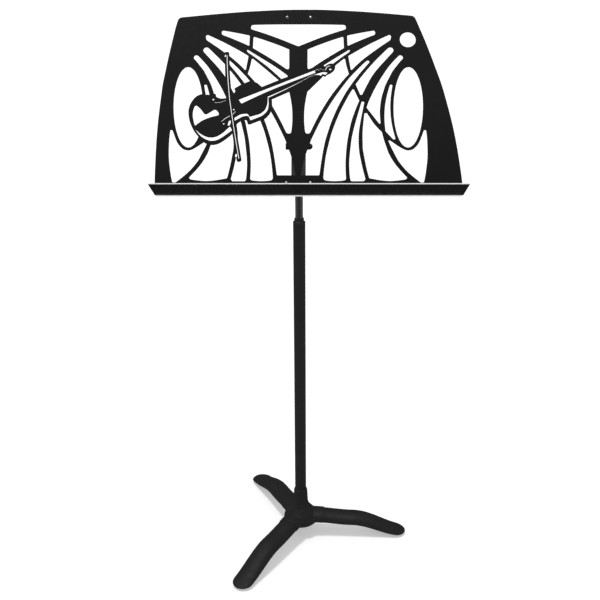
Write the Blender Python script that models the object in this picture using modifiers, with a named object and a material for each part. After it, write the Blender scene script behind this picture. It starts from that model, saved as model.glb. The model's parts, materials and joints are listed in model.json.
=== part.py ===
"""Orchestra music stand with a pierced sheet-metal desk.

A cast hub with three oval legs carries an outer tube.  A steel shaft slides and turns in
a finger clutch at the top of that tube, and its tilt head carries the desk on one pivot
bolt.  Z is up, the desk faces -Y, and X runs to the player's right.  Desk outlines are in
millimetres on the desk's own sheet: x from the middle pillar, y up from the bottom edge.
"""

import math

import bmesh
import bpy
from mathutils import Matrix, Vector

MM = 0.001
GAP = 0.3 * MM                      # working gap between pieces that touch
ROUND_SIDES = 28
SMALL_SIDES = 16

# ---- desk sheet -------------------------------------------------------------------
DESK_WIDTH = 510.0 * MM
DESK_HEIGHT = 326.5 * MM
DESK_SHEET = 2.0 * MM
DESK_LEAN = math.radians(31.0)      # from upright, at rest
DRAWN_WIDTH = 510.0                 # the desk size that the outlines below are drawn at
DRAWN_HEIGHT = 326.5
DRAWN_MIDDLE = 0.6                  # where the pivot's middle lies on the drawing
DESK_LEFT_SHARE = 237.4 / 510.0     # the pillar stands left of the sheet's middle

# ---- ledge ------------------------------------------------------------------------
LEDGE_DEPTH = 61.4 * MM
LEDGE_UP = 2.0 * MM                 # the shelf stands this far above the desk's origin line
LEDGE_SHEET = 1.3 * MM
LEDGE_FLANGE = 18.0 * MM
LEDGE_TAB_WIDTH = 60.0 * MM
LEDGE_TAB_HEIGHT = 28.0 * MM
LEDGE_CORNER = 4.0 * MM

# ---- hinge ------------------------------------------------------------------------
PIVOT_UP_SHEET = 90.6 * MM          # pivot above the desk's bottom edge, along the sheet
PIVOT_BEHIND = 22.0 * MM            # pivot behind the desk's front face
EAR_OUTER = 12.0 * MM
EAR_WALL = 2.5 * MM
EAR_RADIUS = 11.0 * MM
BRACKET_SHEET = 2.0 * MM
BRACKET_TOP = 106.0 * MM            # up the sheet
BRACKET_FOOT_BOTTOM = 7.0 * MM
BRACKET_FOOT_TOP = 24.5 * MM
BRACKET_FOOT_HALF = 28.0 * MM
FRICTION_DISC = 2.0 * MM
FRICTION_DISC_RADIUS = 8.5 * MM
BOLT_RADIUS = 3.0 * MM
BOLT_FLATS = 10.0 * MM
BOLT_HEAD = 5.6 * MM
NUT_HEX = 6.0 * MM
NUT_COLLAR = 2.0 * MM
BOLT_TAIL = 1.0 * MM
WASHER = 1.8 * MM
WASHER_RADIUS = 6.4 * MM
TONGUE_RADIUS = 9.0 * MM

# ---- rivets -----------------------------------------------------------------------
RIVET_RADIUS = 1.6 * MM
RIVET_HEAD_RADIUS = 2.7 * MM
RIVET_HEAD = 1.3 * MM
RIVET_TAIL_RADIUS = 2.4 * MM
RIVET_TAIL = 1.0 * MM
RIVET_SPREAD = 20.0 * MM            # each side of the pillar's middle
LOWER_RIVET_UP = 20.5 * MM
UPPER_RIVET_DOWN = 14.7 * MM        # below the crest
BRACE_LENGTH = 130.0 * MM
BRACE_WIDTH = 15.0 * MM
BRACE_SHEET = 2.0 * MM

# ---- shaft, tube and clutch -------------------------------------------------------
SHAFT_RADIUS = 6.75 * MM
SHAFT_WALL = 1.2 * MM
SHAFT_BOTTOM = 112.0 * MM
SHAFT_SHOWN = 106.3 * MM            # shaft above the cap, at rest
NECK_DROP = 19.5 * MM               # shaft top below the pivot
SPIGOT_LENGTH = 28.0 * MM
HEAD_PIN_RADIUS = 1.5 * MM
HEAD_PIN_DROP = 14.0 * MM
GUIDE_LENGTH = 18.0 * MM
GUIDE_LIP = 1.2 * MM
CLUTCH_ROOM = 2.2 * MM              # between the shaft and the tube's inside
TUBE_WALL = 1.5 * MM
TUBE_RADIUS = SHAFT_RADIUS + CLUTCH_ROOM + TUBE_WALL
TUBE_BOTTOM = 53.0 * MM
TUBE_LENGTH = 590.0 * MM
TUBE_TOP = TUBE_BOTTOM + TUBE_LENGTH
CAP_HEIGHT = 8.0 * MM
CAP_TOP = TUBE_TOP + CAP_HEIGHT
CAP_RADIUS = TUBE_RADIUS + 0.5 * MM
CAP_CHAMFER = 1.7 * MM
CAP_EDGE = 1.2 * MM
SHAFT_TOP = CAP_TOP + SHAFT_SHOWN
PIVOT_HEIGHT = SHAFT_TOP + NECK_DROP
CAP_SKIRT = 13.0 * MM
CLUTCH_LENGTH = 32.0 * MM
CLUTCH_SLOT = 1.0 * MM
CLUTCH_FINGERS = 4
RING_HEIGHT = 2.0 * MM
RING_UP = 7.0 * MM                  # garter ring above the clutch's lower end
RING_SECTION = 0.55 * MM
GROOVE_DEPTH = 0.8 * MM

# ---- base -------------------------------------------------------------------------
HUB_RADIUS = 33.0 * MM
HUB_RIM = 26.0 * MM                 # height of the hub's lower rim
HUB_COLLAR_TOP = 100.5 * MM
HUB_COLLAR_WALL = 2.05 * MM
HUB_COLLAR_RADIUS = TUBE_RADIUS + GAP + HUB_COLLAR_WALL
HUB_COLLAR_FOOT = 68.0 * MM
HUB_COLLAR_FOOT_RADIUS = HUB_COLLAR_RADIUS + 1.8 * MM
HUB_FLARE_RADIUS = 22.0 * MM
HUB_FLARE = 61.0 * MM
SOCKET_REACH = 50.0 * MM
SOCKET_WALL = 1.8 * MM
LEG_REACH = 212.0 * MM
LEG_START = 24.0 * MM
LEG_HALF_WIDTH = 19.8 * MM
LEG_HALF_HEIGHT = 12.1 * MM
LEG_TIP_HALF_HEIGHT = 2.6 * MM
LEG_WALL = 1.5 * MM
LEG_HEIGHT = 32.5 * MM              # centre line of the leg in its socket
LEG_TIP_HEIGHT = 5.9 * MM
LEG_BEND_START = 102.0 * MM
LEG_SIDES = 22
LEG_STEPS = 10
HOLLOW_STEPS = 7
SOCKET_STEPS = 2
LEG_HOLLOW_END = LEG_REACH - 55.0 * MM
LEG_ANGLES = (("right", -2.4), ("rear_left", 116.8), ("front_left", 238.0))
PAD_THICKNESS = 3.2 * MM
PAD_RADIUS = 9.0 * MM
PAD_INSET = 19.0 * MM               # pad centre in from the leg's tip
LEG_SCREW_OUT = 39.0 * MM
LEG_SCREW_RADIUS = 2.0 * MM
LEG_SCREW_HEAD_RADIUS = 3.8 * MM
LEG_SCREW_HEAD = 2.4 * MM
PLUG_LENGTH = 14.0 * MM
POLE_BOLT_RADIUS = 4.0 * MM
POLE_BOLT_HEAD = 5.0 * MM
POLE_BOLT_FLATS = 13.0 * MM
POLE_BOLT_RECESS = 13.5 * MM
POLE_BOLT_RECESS_RADIUS = 10.5 * MM
POLE_WASHER = 1.6 * MM
POLE_WASHER_RADIUS = 9.5 * MM

# ---- desk outlines: x, y, corner radius -------------------------------------------
SHEET_OUTLINE = (
    (-236.8, 2, 1.5), (272.4, 2, 1.5), (271.1, 28, 200), (262.6, 98, 400), (249.2, 162, 600),
    (230.6, 230, 900), (201.1, 305, 900), (197.1, 314.6, 8), (150.6, 319, 900), (75.6, 325, 900),
    (10.6, 326.3, 900), (-64.4, 324.6, 900), (-139.4, 318, 900), (-203.7, 311.5, 8),
    (-207.4, 300, 900), (-224, 220, 900), (-232.8, 160, 900), (-237.8, 60, 900),
)
TOP_WINDOW_HALF = (
    (0, 259.3, 5), (45, 278.6, 300), (81.5, 290.6, 4), (80.2, 299, 4), (45, 300, 900),
)
WING_WINDOWS = {
    "crown": (
        (82.3, 279.8, 1.5), (105, 284.8, 300), (131, 289.4, 5), (130.3, 280.5, 4),
        (105, 270.8, 300), (83, 259.8, 1.5)),
    "shoulder": (
        (15.3, 254.8, 2), (45, 267.8, 300), (76.5, 278, 2), (77.3, 256.5, 2),
        (45, 236.8, 300), (15.2, 215.2, 3.4)),
    "inner_slit": (
        (88.5, 256, 3), (60, 237.8, 300), (30, 218.3, 300), (15.8, 206, 2),
        (28.5, 201.2, 2), (45, 217, 300), (65, 234.3, 300), (86.2, 249.3, 3)),
    "outer_shoulder": (
        (84, 243, 1.5), (105, 255.8, 300), (130, 269.8, 300), (158.5, 283.2, 5),
        (156.2, 271, 5), (125, 249.3, 300), (100, 228.3, 300), (88.6, 215.5, 1.5)),
    "heart": (
        (78.8, 240, 2), (81, 226, 60), (85.6, 210.6, 1.5), (66, 188.6, 200),
        (45, 156.2, 200), (31, 130.8, 200), (19.4, 105.6, 5), (11.8, 105, 4),
        (10.2, 118, 80), (9.6, 128, 80), (9.7, 152, 80), (15.5, 182, 2), (22, 190, 2), (60, 224, 40)),
    "long_rib": (
        (117, 236, 2.8), (121.3, 232.4, 2.8), (103, 210.8, 200), (88, 190.5, 200),
        (73, 166, 200), (60.5, 139, 200), (49.3, 109.5, 200), (41.8, 79, 200),
        (37.6, 50, 200), (35.3, 33.4, 2), (3.6, 33.4, 1), (9.5, 62, 60),
        (21.3, 95, 60), (28.4, 110.5, 60), (41, 137, 200), (57, 163.5, 200),
        (77, 193, 200), (97, 217.5, 200)),
    "second_rib": (
        (92.5, 186.3, 2), (102.6, 163.3, 2), (93.5, 143, 200), (84.3, 110, 200),
        (79.2, 72, 200), (78.6, 42, 200), (79.8, 25, 4), (60, 22.8, 400), (41.2, 25, 5),
        (43.3, 52, 200), (49.8, 90, 200), (62, 126.5, 200), (78, 163, 200)),
    "third_rib": (
        (106.2, 162.3, 2), (111.2, 162.3, 2), (107.8, 145, 150), (102.3, 119, 150),
        (99.8, 90, 150), (103.8, 58, 200), (111.8, 27, 3), (109, 23.3, 3),
        (86.5, 23.3, 3), (84.1, 42, 100), (85.3, 80, 200), (92, 113, 200),
        (100.5, 143, 200)),
    "fourth_rib": (
        (110.6, 142.2, 2.6), (115, 142.2, 2.6), (127.5, 121.3, 150), (140, 108.6, 6),
        (145, 85, 150), (157.5, 56, 200), (181.5, 29.5, 4), (178, 26.4, 4),
        (150, 22.2, 300), (117.4, 28.4, 2), (109, 62, 200), (106.3, 92, 150),
        (107.8, 117, 150)),
    "fan_one": (
        (155.6, 260.8, 5.3), (163.4, 253.2, 5.3), (140, 227, 200), (124.5, 208.5, 150),
        (113, 185.3, 100), (105.3, 169.6, 2.3), (96, 192.3, 2), (109, 210.3, 150),
        (130, 235.4, 200)),
    "fan_two": (
        (172.4, 246.2, 4.1), (178.8, 240, 4.1), (165, 225, 150), (152.5, 205, 150),
        (142, 179, 100), (136.9, 155, 80), (136.8, 138, 80), (138.3, 118.5, 1.7),
        (114, 151, 3), (121, 171.5, 150), (137, 200.5, 150), (154.5, 228, 150)),
    "pin_slit": (
        (154.2, 192.2, 1.8), (158.8, 191.8, 1.8), (154.7, 168, 100), (154.2, 140, 100),
        (157.2, 117, 80), (162.4, 97, 2), (159.3, 94.2, 2), (145.3, 109.7, 2),
        (143.4, 133, 80), (145.5, 160, 80), (151, 182, 100)),
    "outer_sail": (
        (209.8, 112.4, 2), (213.7, 112.4, 2), (216.4, 84, 150), (213.6, 45, 150),
        (208, 20.8, 2.5), (202.5, 21.2, 3), (176, 42.3, 200), (158.3, 71, 150),
        (149.4, 94.9, 2), (153.4, 94, 2), (168, 83.5, 60), (183.5, 74.3, 22),
        (199.5, 84.5, 40)),
}
WING_OVAL = (184.3, 152.3, 25.0, 71.2, -1.6)    # centre x, y, half width, height, lean
RIGHT_ROUND_WINDOW = (185.4, 271.8, 13.9)       # centre x, y, radius
VIOLIN_BODY = (
    (-44.6, 165.8, 1.5), (-43.6, 154, 30), (-47, 141.5, 12), (-55, 131.8, 12),
    (-68, 127.3, 60), (-80.5, 122, 2), (-84, 122.4, 1.5), (-86.3, 130.4, 3),
    (-97, 128.2, 20), (-105, 120.5, 12), (-110, 105, 20), (-118, 98.4, 60),
    (-130, 89.2, 40), (-142, 85.3, 40), (-155, 88.5, 40), (-168.5, 102.5, 60),
    (-178, 117, 60), (-184.4, 138, 60), (-182.5, 157, 40), (-171, 171.5, 25),
    (-162, 174.6, 10), (-150, 172.8, 60), (-139, 175.6, 1.5), (-138, 169.6, 4),
    (-130, 165.8, 30), (-120.3, 167.7, 3), (-112, 171.6, 3), (-104.8, 180, 4),
    (-107.6, 184.4, 1.2), (-96.5, 191.2, 30), (-81.5, 197.6, 3), (-70, 195, 8),
    (-61, 187, 1.5),
)
VIOLIN_NECK = (
    (-61.5, 187.1, 1), (-33, 199.2, 400), (16, 218, 300), (40.2, 228.4, 1),
    (44.7, 222.7, 0.8), (47, 225.4, 3), (53.5, 229.4, 8), (61.8, 227.5, 7), (62.2, 218.5, 9),
    (54.5, 211.8, 10), (48.5, 209.3, 4), (44.7, 205.4, 2.5), (41.8, 208, 1.5),
    (39, 203.7, 6), (15, 179.3, 2), (0, 176, 2), (-15.5, 179.3, 2), (-44.8, 165.8, 1),
    (-60, 160, 1),
)
VIOLIN_CUTS = (
    # window in the lower bout
    ((-172.5, 157.6, 3.5), (-163, 148.8, 40), (-155.8, 138.2, 4), (-138, 149.8, 5),
     (-130.8, 138, 3), (-152, 132.7, 60), (-165, 125.4, 60), (-172.5, 118.2, 1.6),
     (-178.6, 141, 40)),
    # lit rim of the lower bout
    ((-173.5, 115.6, 0.6), (-166.5, 104.4, 40), (-155, 95, 40), (-142, 91.4, 40),
     (-129.5, 96.9, 40), (-110, 111.4, 1), (-114, 118.8, 1), (-129.5, 103.8, 40),
     (-143, 98, 40), (-157, 101.4, 40), (-168, 109.5, 40)),
    # left of the waist
    ((-118.4, 119.4, 1), (-116.6, 127.6, 2), (-112.8, 130, 1), (-112.4, 124.5, 3),
     (-114.8, 119.2, 1)),
    # lit rim of the waist and the upper bout, running on along the neck
    ((-106.8, 127.4, 1), (-92, 135.9, 14), (-83.2, 136.6, 4), (-80, 128.4, 1),
     (-59.5, 136.6, 20), (-50.6, 146, 12), (-49.3, 158, 20), (-50, 168.2, 0.6),
     (-15, 185.4, 300), (22, 206.4, 300), (28, 208.6, 1), (35.2, 208.4, 0.8),
     (37.5, 206.6, 0.8), (40.8, 210.3, 1), (45.7, 208.4, 0.8), (50, 213.6, 0.8),
     (41, 214.6, 12), (29, 210.6, 60), (22, 208, 300), (-15, 187.4, 300),
     (-51.4, 170.8, 0.5), (-51.8, 158, 20),
     (-55.5, 147.5, 12), (-63.5, 140.6, 14), (-81.4, 135.4, 1), (-84.6, 141.2, 4),
     (-97, 140, 12), (-107, 133.4, 1)),
    # strip along the fingerboard
    ((-100.4, 165.3, 1), (28, 217.9, 1), (28.9, 212.4, 1), (-50, 180.6, 400),
     (-95.4, 157.7, 1)),
    # upper sound hole and its partner
    ((-140.5, 159.2, 0.5), (-131, 159.4, 20), (-121.5, 163, 0.5), (-121.8, 164.6, 0.5),
     (-131, 161, 20), (-140.5, 160.8, 0.5)),
    ((-128.6, 125.8, 0.5), (-122, 131.2, 20), (-114, 136.4, 20), (-114.2, 138.3, 0.5),
     (-123, 132.9, 20), (-129.4, 127.2, 0.5)),
    ((-109.8, 138.2, 0.5), (-106.6, 141.4, 5), (-104.2, 144.4, 0.5), (-105.5, 145.4, 0.5),
     (-107.8, 142.5, 5), (-110.8, 139.5, 0.5)),
    # windows in the bow's frog and in its tip
    ((-104.8, 64.6, 0.8), (-101.6, 64.4, 0.8), (-101.2, 70.8, 0.8), (-104.8, 70.8, 0.8)),
    ((-125.2, 241.6, 0.7), (-123.2, 239.2, 0.7), (-122.3, 245, 0.7), (-124, 246.4, 0.7)),
    # line of the pegs
    ((29.2, 216.2, 0.5), (31.4, 218.4, 1), (33.4, 216.6, 1), (37.4, 219.2, 1), (43.6, 216.4, 0.5),
     (44, 217.8, 0.5), (37.4, 220.8, 1), (33.5, 218.2, 1), (31.3, 220.2, 1), (28.4, 217.6, 0.5)),
    # curl of the scroll
    ((46.2, 216.6, 0.5), (48.6, 222.6, 4), (54.8, 224.4, 0.5), (54.6, 226.1, 0.5),
     (47, 224.6, 6), (44.9, 217.2, 0.5)),
)
VIOLIN_DOTS = (
    (-142.5, 165.3, 1.9), (-108.0, 147.8, 1.7), (-124.5, 123.0, 1.6), (53.8, 218.7, 2.1),
)
BOW_LINE = ((-121, 249.5), (-119.2, 208), (-115.5, 167), (-109.2, 126), (-103.3, 90), (-97.6, 57.5))
BOW_HALF_WIDTH = 3.75
BOW_END_RADIUS = 2.5
BOW_SLOT_HALF_WIDTH = 0.8
BOW_SLOT_INSET = 5.0
CUT_ALLOWANCE = 0.3                 # every edge of the drawing keeps this much more metal

# ---- finishes: colour, roughness, metallic ----------------------------------------
POWDER_BLACK = ((0.010, 0.010, 0.011), 0.55, 0.0)
CAST_BLACK = ((0.016, 0.016, 0.017), 0.50, 0.0)
SHAFT_STEEL = ((0.090, 0.090, 0.095), 0.28, 1.0)
BRIGHT_RIVET = ((0.520, 0.520, 0.530), 0.35, 1.0)
DARK_ZINC = ((0.050, 0.050, 0.055), 0.45, 1.0)
NYLON_BLACK = ((0.020, 0.020, 0.020), 0.60, 0.0)
RUBBER_BLACK = ((0.012, 0.012, 0.012), 0.85, 0.0)


# ==== scene and object helpers =====================================================
def start_scene():
    """Remove every object and make the collections for the parts and their cutters."""
    for old in list(bpy.data.objects):
        bpy.data.objects.remove(old, do_unlink=True)
    made = []
    for name in ("music_stand", "music_stand_cutters"):
        group = bpy.data.collections.new(name)
        bpy.context.scene.collection.children.link(group)
        made.append(group)
    return made


PARTS, CUTTERS = start_scene()


def axis_empty(name, parent=None, location=(0, 0, 0), turn_x=0.0):
    """Make an empty that pieces hang from; a joint's empty lies on its axis."""
    empty = bpy.data.objects.new(name, None)
    PARTS.objects.link(empty)
    empty.parent = parent
    empty.location = location
    empty.rotation_euler = (turn_x, 0, 0)
    return empty


def mesh_object(name, bm):
    """Turn a bmesh into an object, still in no collection."""
    bmesh.ops.recalc_face_normals(bm, faces=bm.faces)
    mesh = bpy.data.meshes.new(name)
    bm.to_mesh(mesh)
    bm.free()
    mesh.shade_smooth()
    mesh.set_sharp_from_angle(angle=math.radians(30))
    return bpy.data.objects.new(name, mesh)


def as_part(piece, parent, finish):
    """Put a piece in the parts, hang it from its empty and give it a material."""
    PARTS.objects.link(piece)
    piece.parent = parent
    colour, roughness, metallic = finish
    material = bpy.data.materials.new(piece.name + "_finish")
    material.use_nodes = True
    shader = material.node_tree.nodes["Principled BSDF"]
    shader.inputs["Base Color"].default_value = (*colour, 1)
    shader.inputs["Roughness"].default_value = roughness
    shader.inputs["Metallic"].default_value = metallic
    piece.data.materials.append(material)
    return piece


def as_cutter(piece, parent):
    """Put a piece in the cutters, where it shapes other pieces and isn't built."""
    CUTTERS.objects.link(piece)
    piece.parent = parent
    piece.hide_render = True
    piece.display_type = "WIRE"
    return piece


def boolean(piece, other, operation):
    """Add one exact Boolean modifier to a piece."""
    modifier = piece.modifiers.new(other.name, "BOOLEAN")
    modifier.operation = operation
    modifier.object = other
    modifier.solver = "EXACT"


def cut(piece, cutter):
    """Cut a cutter's volume out of a piece."""
    boolean(piece, cutter, "DIFFERENCE")


def join(piece, other):
    """Weld another solid onto a piece."""
    boolean(piece, other, "UNION")


# ==== shapes =======================================================================
def rod(name, radius, start, end, sides=ROUND_SIDES, end_radius=None):
    """Solid cylinder between two points, or a frustum when end_radius is given."""
    start, end = Vector(start), Vector(end)
    span = end - start
    turn = Vector((0, 0, 1)).rotation_difference(span).to_matrix().to_4x4()
    bm = bmesh.new()
    bmesh.ops.create_cone(
        bm, cap_ends=True, segments=sides, depth=span.length, radius1=radius,
        radius2=radius if end_radius is None else end_radius,
        matrix=Matrix.Translation((start + end) / 2) @ turn)
    return mesh_object(name, bm)


def block(name, low, high):
    """Solid box between two corners."""
    low, high = Vector(low), Vector(high)
    bm = bmesh.new()
    bmesh.ops.create_cube(
        bm, size=1.0,
        matrix=Matrix.Translation((low + high) / 2) @ Matrix.Diagonal((*(high - low), 1)))
    return mesh_object(name, bm)


def turned(name, profile, bored=True, sides=ROUND_SIDES):
    """Turn a profile of (radius, height) about Z: down the outer side, up the bore."""
    mesh = bpy.data.meshes.new(name)
    edges = [(i, i + 1) for i in range(len(profile) - 1)]
    if bored:
        edges.append((len(profile) - 1, 0))
    mesh.from_pydata([(radius, 0, height) for radius, height in profile], edges, [])
    piece = bpy.data.objects.new(name, mesh)
    screw = piece.modifiers.new("turn", "SCREW")
    screw.axis = "Z"
    screw.steps = sides
    screw.render_steps = sides
    screw.use_merge_vertices = True
    screw.merge_threshold = 1e-5
    screw.use_smooth_shade = True
    return piece


def ring_profile(inner, outer, low, high, chamfer=0.0):
    """Profile of a plain ring, with both outer edges chamfered."""
    return [(outer - chamfer, high), (outer, high - chamfer), (outer, low + chamfer),
            (outer - chamfer, low), (inner, low), (inner, high)] if chamfer else [
            (outer, high), (outer, low), (inner, low), (inner, high)]


def rounded(corners, largest_step=math.radians(30)):
    """Round each corner of a closed outline with an arc of its own radius.

    An arc never takes more than half of the edge on either side, so a row of corners
    with large radii runs on as one smooth curve.
    """
    points = []
    for index, (x, y, radius) in enumerate(corners):
        here = Vector((x, y))
        back = Vector(corners[index - 1][:2]) - here
        ahead = Vector(corners[(index + 1) % len(corners)][:2]) - here
        turn = math.pi - back.angle(ahead)
        reach = min(radius * math.tan(turn / 2), back.length / 2, ahead.length / 2)
        if reach < 0.05 or turn < math.radians(1.5):
            points.append(here)
            continue
        start = here + back.normalized() * reach
        radius = reach / math.tan(turn / 2)
        centre = here + (back.normalized() + ahead.normalized()).normalized() * math.hypot(
            radius, reach)
        side = 1 if back.cross(ahead) < 0 else -1
        steps = max(1 if turn < math.radians(12) else 2, math.ceil(turn / largest_step))
        arm = start - centre
        for step in range(steps + 1):
            points.append(centre + Matrix.Rotation(side * turn * step / steps, 2) @ arm)
    closed = []
    for point in points:
        if not closed or (point - closed[-1]).length > 0.12:
            closed.append(point)
    if (closed[0] - closed[-1]).length < 0.12:
        closed.pop()
    return closed


def oval(x, y, half_width, half_height, lean=0.0, sides=40):
    """Closed outline of an oval that leans by an angle in degrees."""
    turn = Matrix.Rotation(math.radians(lean), 2)
    angles = [2 * math.pi * step / sides for step in range(sides)]
    return [Vector((x, y)) + turn @ Vector((half_width * math.cos(a), half_height * math.sin(a)))
            for a in angles]


def grown(outline, by):
    """Move a closed outline's edges outwards, or inwards when by is negative."""
    count = len(outline)
    area = sum(outline[index - 1].cross(outline[index]) for index in range(count))
    points = []
    for index, here in enumerate(outline):
        before = (here - outline[index - 1]).normalized()
        after = (outline[(index + 1) % count] - here).normalized()
        along = (before + after).normalized()
        outward = Vector((along.y, -along.x)) * math.copysign(1, area)
        points.append(here + outward * by / max(along.dot(after), 0.5))
    return points


def mirrored(outline):
    """Mirror a list of x, y, ... corners across the pillar, keeping its direction."""
    return [(-corner[0], *corner[1:]) for corner in reversed(outline)]


def ribbon(line, half_width):
    """Outline of a strip along a line of points, square at both ends."""
    left, right = [], []
    for index, point in enumerate(line):
        before = Vector(line[max(index - 1, 0)])
        after = Vector(line[min(index + 1, len(line) - 1)])
        along = (after - before).normalized()
        across = Vector((-along.y, along.x)) * half_width
        left.append(Vector(point) + across)
        right.append(Vector(point) - across)
    return left + right[::-1]


def flat_solid(name, outlines, low, high, across="sheet"):
    """Extrude closed outlines into one solid with holes, between two levels.

    across says which plane the outlines are drawn on: "sheet" is local XY with levels
    along Z, and "side" is local YZ with levels along X.  Outlines are in metres.
    """
    curve = bpy.data.curves.new(name, "CURVE")
    curve.dimensions = "2D"
    curve.fill_mode = "BOTH"
    curve.extrude = (high - low) / 2
    for outline in outlines:
        spline = curve.splines.new("POLY")
        spline.points.add(len(outline) - 1)
        for slot, point in zip(spline.points, outline):
            slot.co = (point[0], point[1], 0, 1)
        spline.use_cyclic_u = True
    drawn = bpy.data.objects.new(name + "_drawn", curve)
    CUTTERS.objects.link(drawn)
    bpy.context.view_layer.update()
    mesh = bpy.data.meshes.new_from_object(
        drawn.evaluated_get(bpy.context.evaluated_depsgraph_get()))
    bpy.data.objects.remove(drawn, do_unlink=True)
    bm = bmesh.new()
    bm.from_mesh(mesh)
    bpy.data.meshes.remove(mesh)
    bmesh.ops.remove_doubles(bm, verts=bm.verts, dist=1e-6)
    place = Matrix.Translation((0, 0, (low + high) / 2))
    if across == "side":
        place = Matrix(((0, 0, 1, 0), (1, 0, 0, 0), (0, 1, 0, 0), (0, 0, 0, 1))) @ place
    bm.transform(place)
    return mesh_object(name, bm)


def loft(name, rings):
    """Skin a row of equal closed rings and close both ends."""
    bm = bmesh.new()
    rows = [[bm.verts.new(point) for point in ring] for ring in rings]
    count = len(rows[0])
    for row, following in zip(rows, rows[1:]):
        for index in range(count):
            nearby = (index + 1) % count
            bm.faces.new((row[index], row[nearby], following[nearby], following[index]))
    bm.faces.new(rows[0][::-1])
    bm.faces.new(rows[-1])
    return mesh_object(name, bm)


# ==== desk =========================================================================
def sheet_to_desk(point):
    """Take a drawn desk point to the desk's local metres, about the tilt pivot."""
    x = (point[0] - DRAWN_MIDDLE) * DESK_WIDTH / DRAWN_WIDTH
    y = point[1] * DESK_HEIGHT / DRAWN_HEIGHT
    return Vector((x, y - PIVOT_UP_SHEET))


def on_sheet(outline, by=0.0):
    """Round a drawn outline, move its edges and take it to the desk's local metres."""
    return [sheet_to_desk(point) for point in grown(rounded(outline), by)]


def oval_on_sheet(x, y, half_width, half_height, lean=0.0, sides=40):
    """Drawn oval window, in the desk's local metres."""
    ease = -CUT_ALLOWANCE
    return [sheet_to_desk(point)
            for point in oval(x, y, half_width + ease, half_height + ease, lean, sides)]


FRONT = PIVOT_BEHIND
BACK = FRONT - DESK_SHEET
LAYER_FRONT = BACK - GAP            # ledge flange and brace lie against the sheet's back
FOOT_FRONT = LAYER_FRONT - LEDGE_SHEET - GAP
LEFT_END = -DESK_WIDTH * DESK_LEFT_SHARE
RIGHT_END = LEFT_END + DESK_WIDTH
DESK_BOTTOM = -PIVOT_UP_SHEET
UPPER_RIVET_Y = DESK_BOTTOM + DESK_HEIGHT - UPPER_RIVET_DOWN
LOWER_RIVET_Y = DESK_BOTTOM + LOWER_RIVET_UP


def wing_outlines():
    """Every window of both wings, as outlines in local metres."""
    outlines = []
    for window in WING_WINDOWS.values():
        outlines.append(on_sheet(window, -CUT_ALLOWANCE))
        outlines.append(on_sheet(mirrored(window), -CUT_ALLOWANCE))
    x, y, half_width, half_height, lean = WING_OVAL
    outlines.append(oval_on_sheet(x, y, half_width, half_height, lean))
    outlines.append(oval_on_sheet(-x, y, half_width, half_height, -lean))
    outlines.append(on_sheet(list(TOP_WINDOW_HALF) + mirrored(TOP_WINDOW_HALF[1:]),
                             -CUT_ALLOWANCE))
    x, y, radius = RIGHT_ROUND_WINDOW
    outlines.append(oval_on_sheet(x, y, radius, radius, sides=28))
    return outlines


def rivet_holes(parent):
    """Cutter with the four rivet holes that go through the sheet and what is behind it."""
    radius = RIVET_RADIUS + GAP
    circles = []
    for side in (-1, 1):
        for height in (LOWER_RIVET_Y, UPPER_RIVET_Y):
            circles.append(oval(side * RIVET_SPREAD, height, radius, radius, sides=SMALL_SIDES))
    return as_cutter(flat_solid("rivet_holes", circles, -2 * FRONT, 2 * FRONT), parent)


def desk_panel(desk, holes):
    """The pierced sheet: wings of ribs about a pillar, with a violin and its bow."""
    panel = flat_solid("desk_panel", [on_sheet(SHEET_OUTLINE)], BACK, FRONT)
    windows = as_cutter(flat_solid("windows", wing_outlines(), BACK - 3 * MM, FRONT + 3 * MM), desk)
    bow = [(*point, BOW_END_RADIUS) for point in ribbon(BOW_LINE, BOW_HALF_WIDTH)]
    for name, outline in (("violin_body", VIOLIN_BODY), ("violin_neck", VIOLIN_NECK),
                          ("bow", bow)):
        spared = flat_solid(name, [on_sheet(outline, CUT_ALLOWANCE)], BACK - 5 * MM,
                            FRONT + 5 * MM)
        cut(windows, as_cutter(spared, desk))
    details = [on_sheet(outline, -CUT_ALLOWANCE) for outline in VIOLIN_CUTS]
    for x, y, radius in VIOLIN_DOTS:
        details.append(oval_on_sheet(x, y, radius, radius, sides=12))
    slot_line = [Vector(point) for point in BOW_LINE]
    slot_line[0] += (slot_line[1] - slot_line[0]).normalized() * BOW_SLOT_INSET
    slot_line[-1] += (slot_line[-2] - slot_line[-1]).normalized() * BOW_SLOT_INSET
    slot = ribbon(slot_line, BOW_SLOT_HALF_WIDTH - CUT_ALLOWANCE)
    details.append([sheet_to_desk(point) for point in slot])
    lines = as_cutter(flat_solid("violin_lines", details, BACK - 4 * MM, FRONT + 4 * MM), desk)
    cut(panel, windows)
    cut(panel, lines)
    cut(panel, holes)
    return as_part(panel, desk, POWDER_BLACK)


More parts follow.
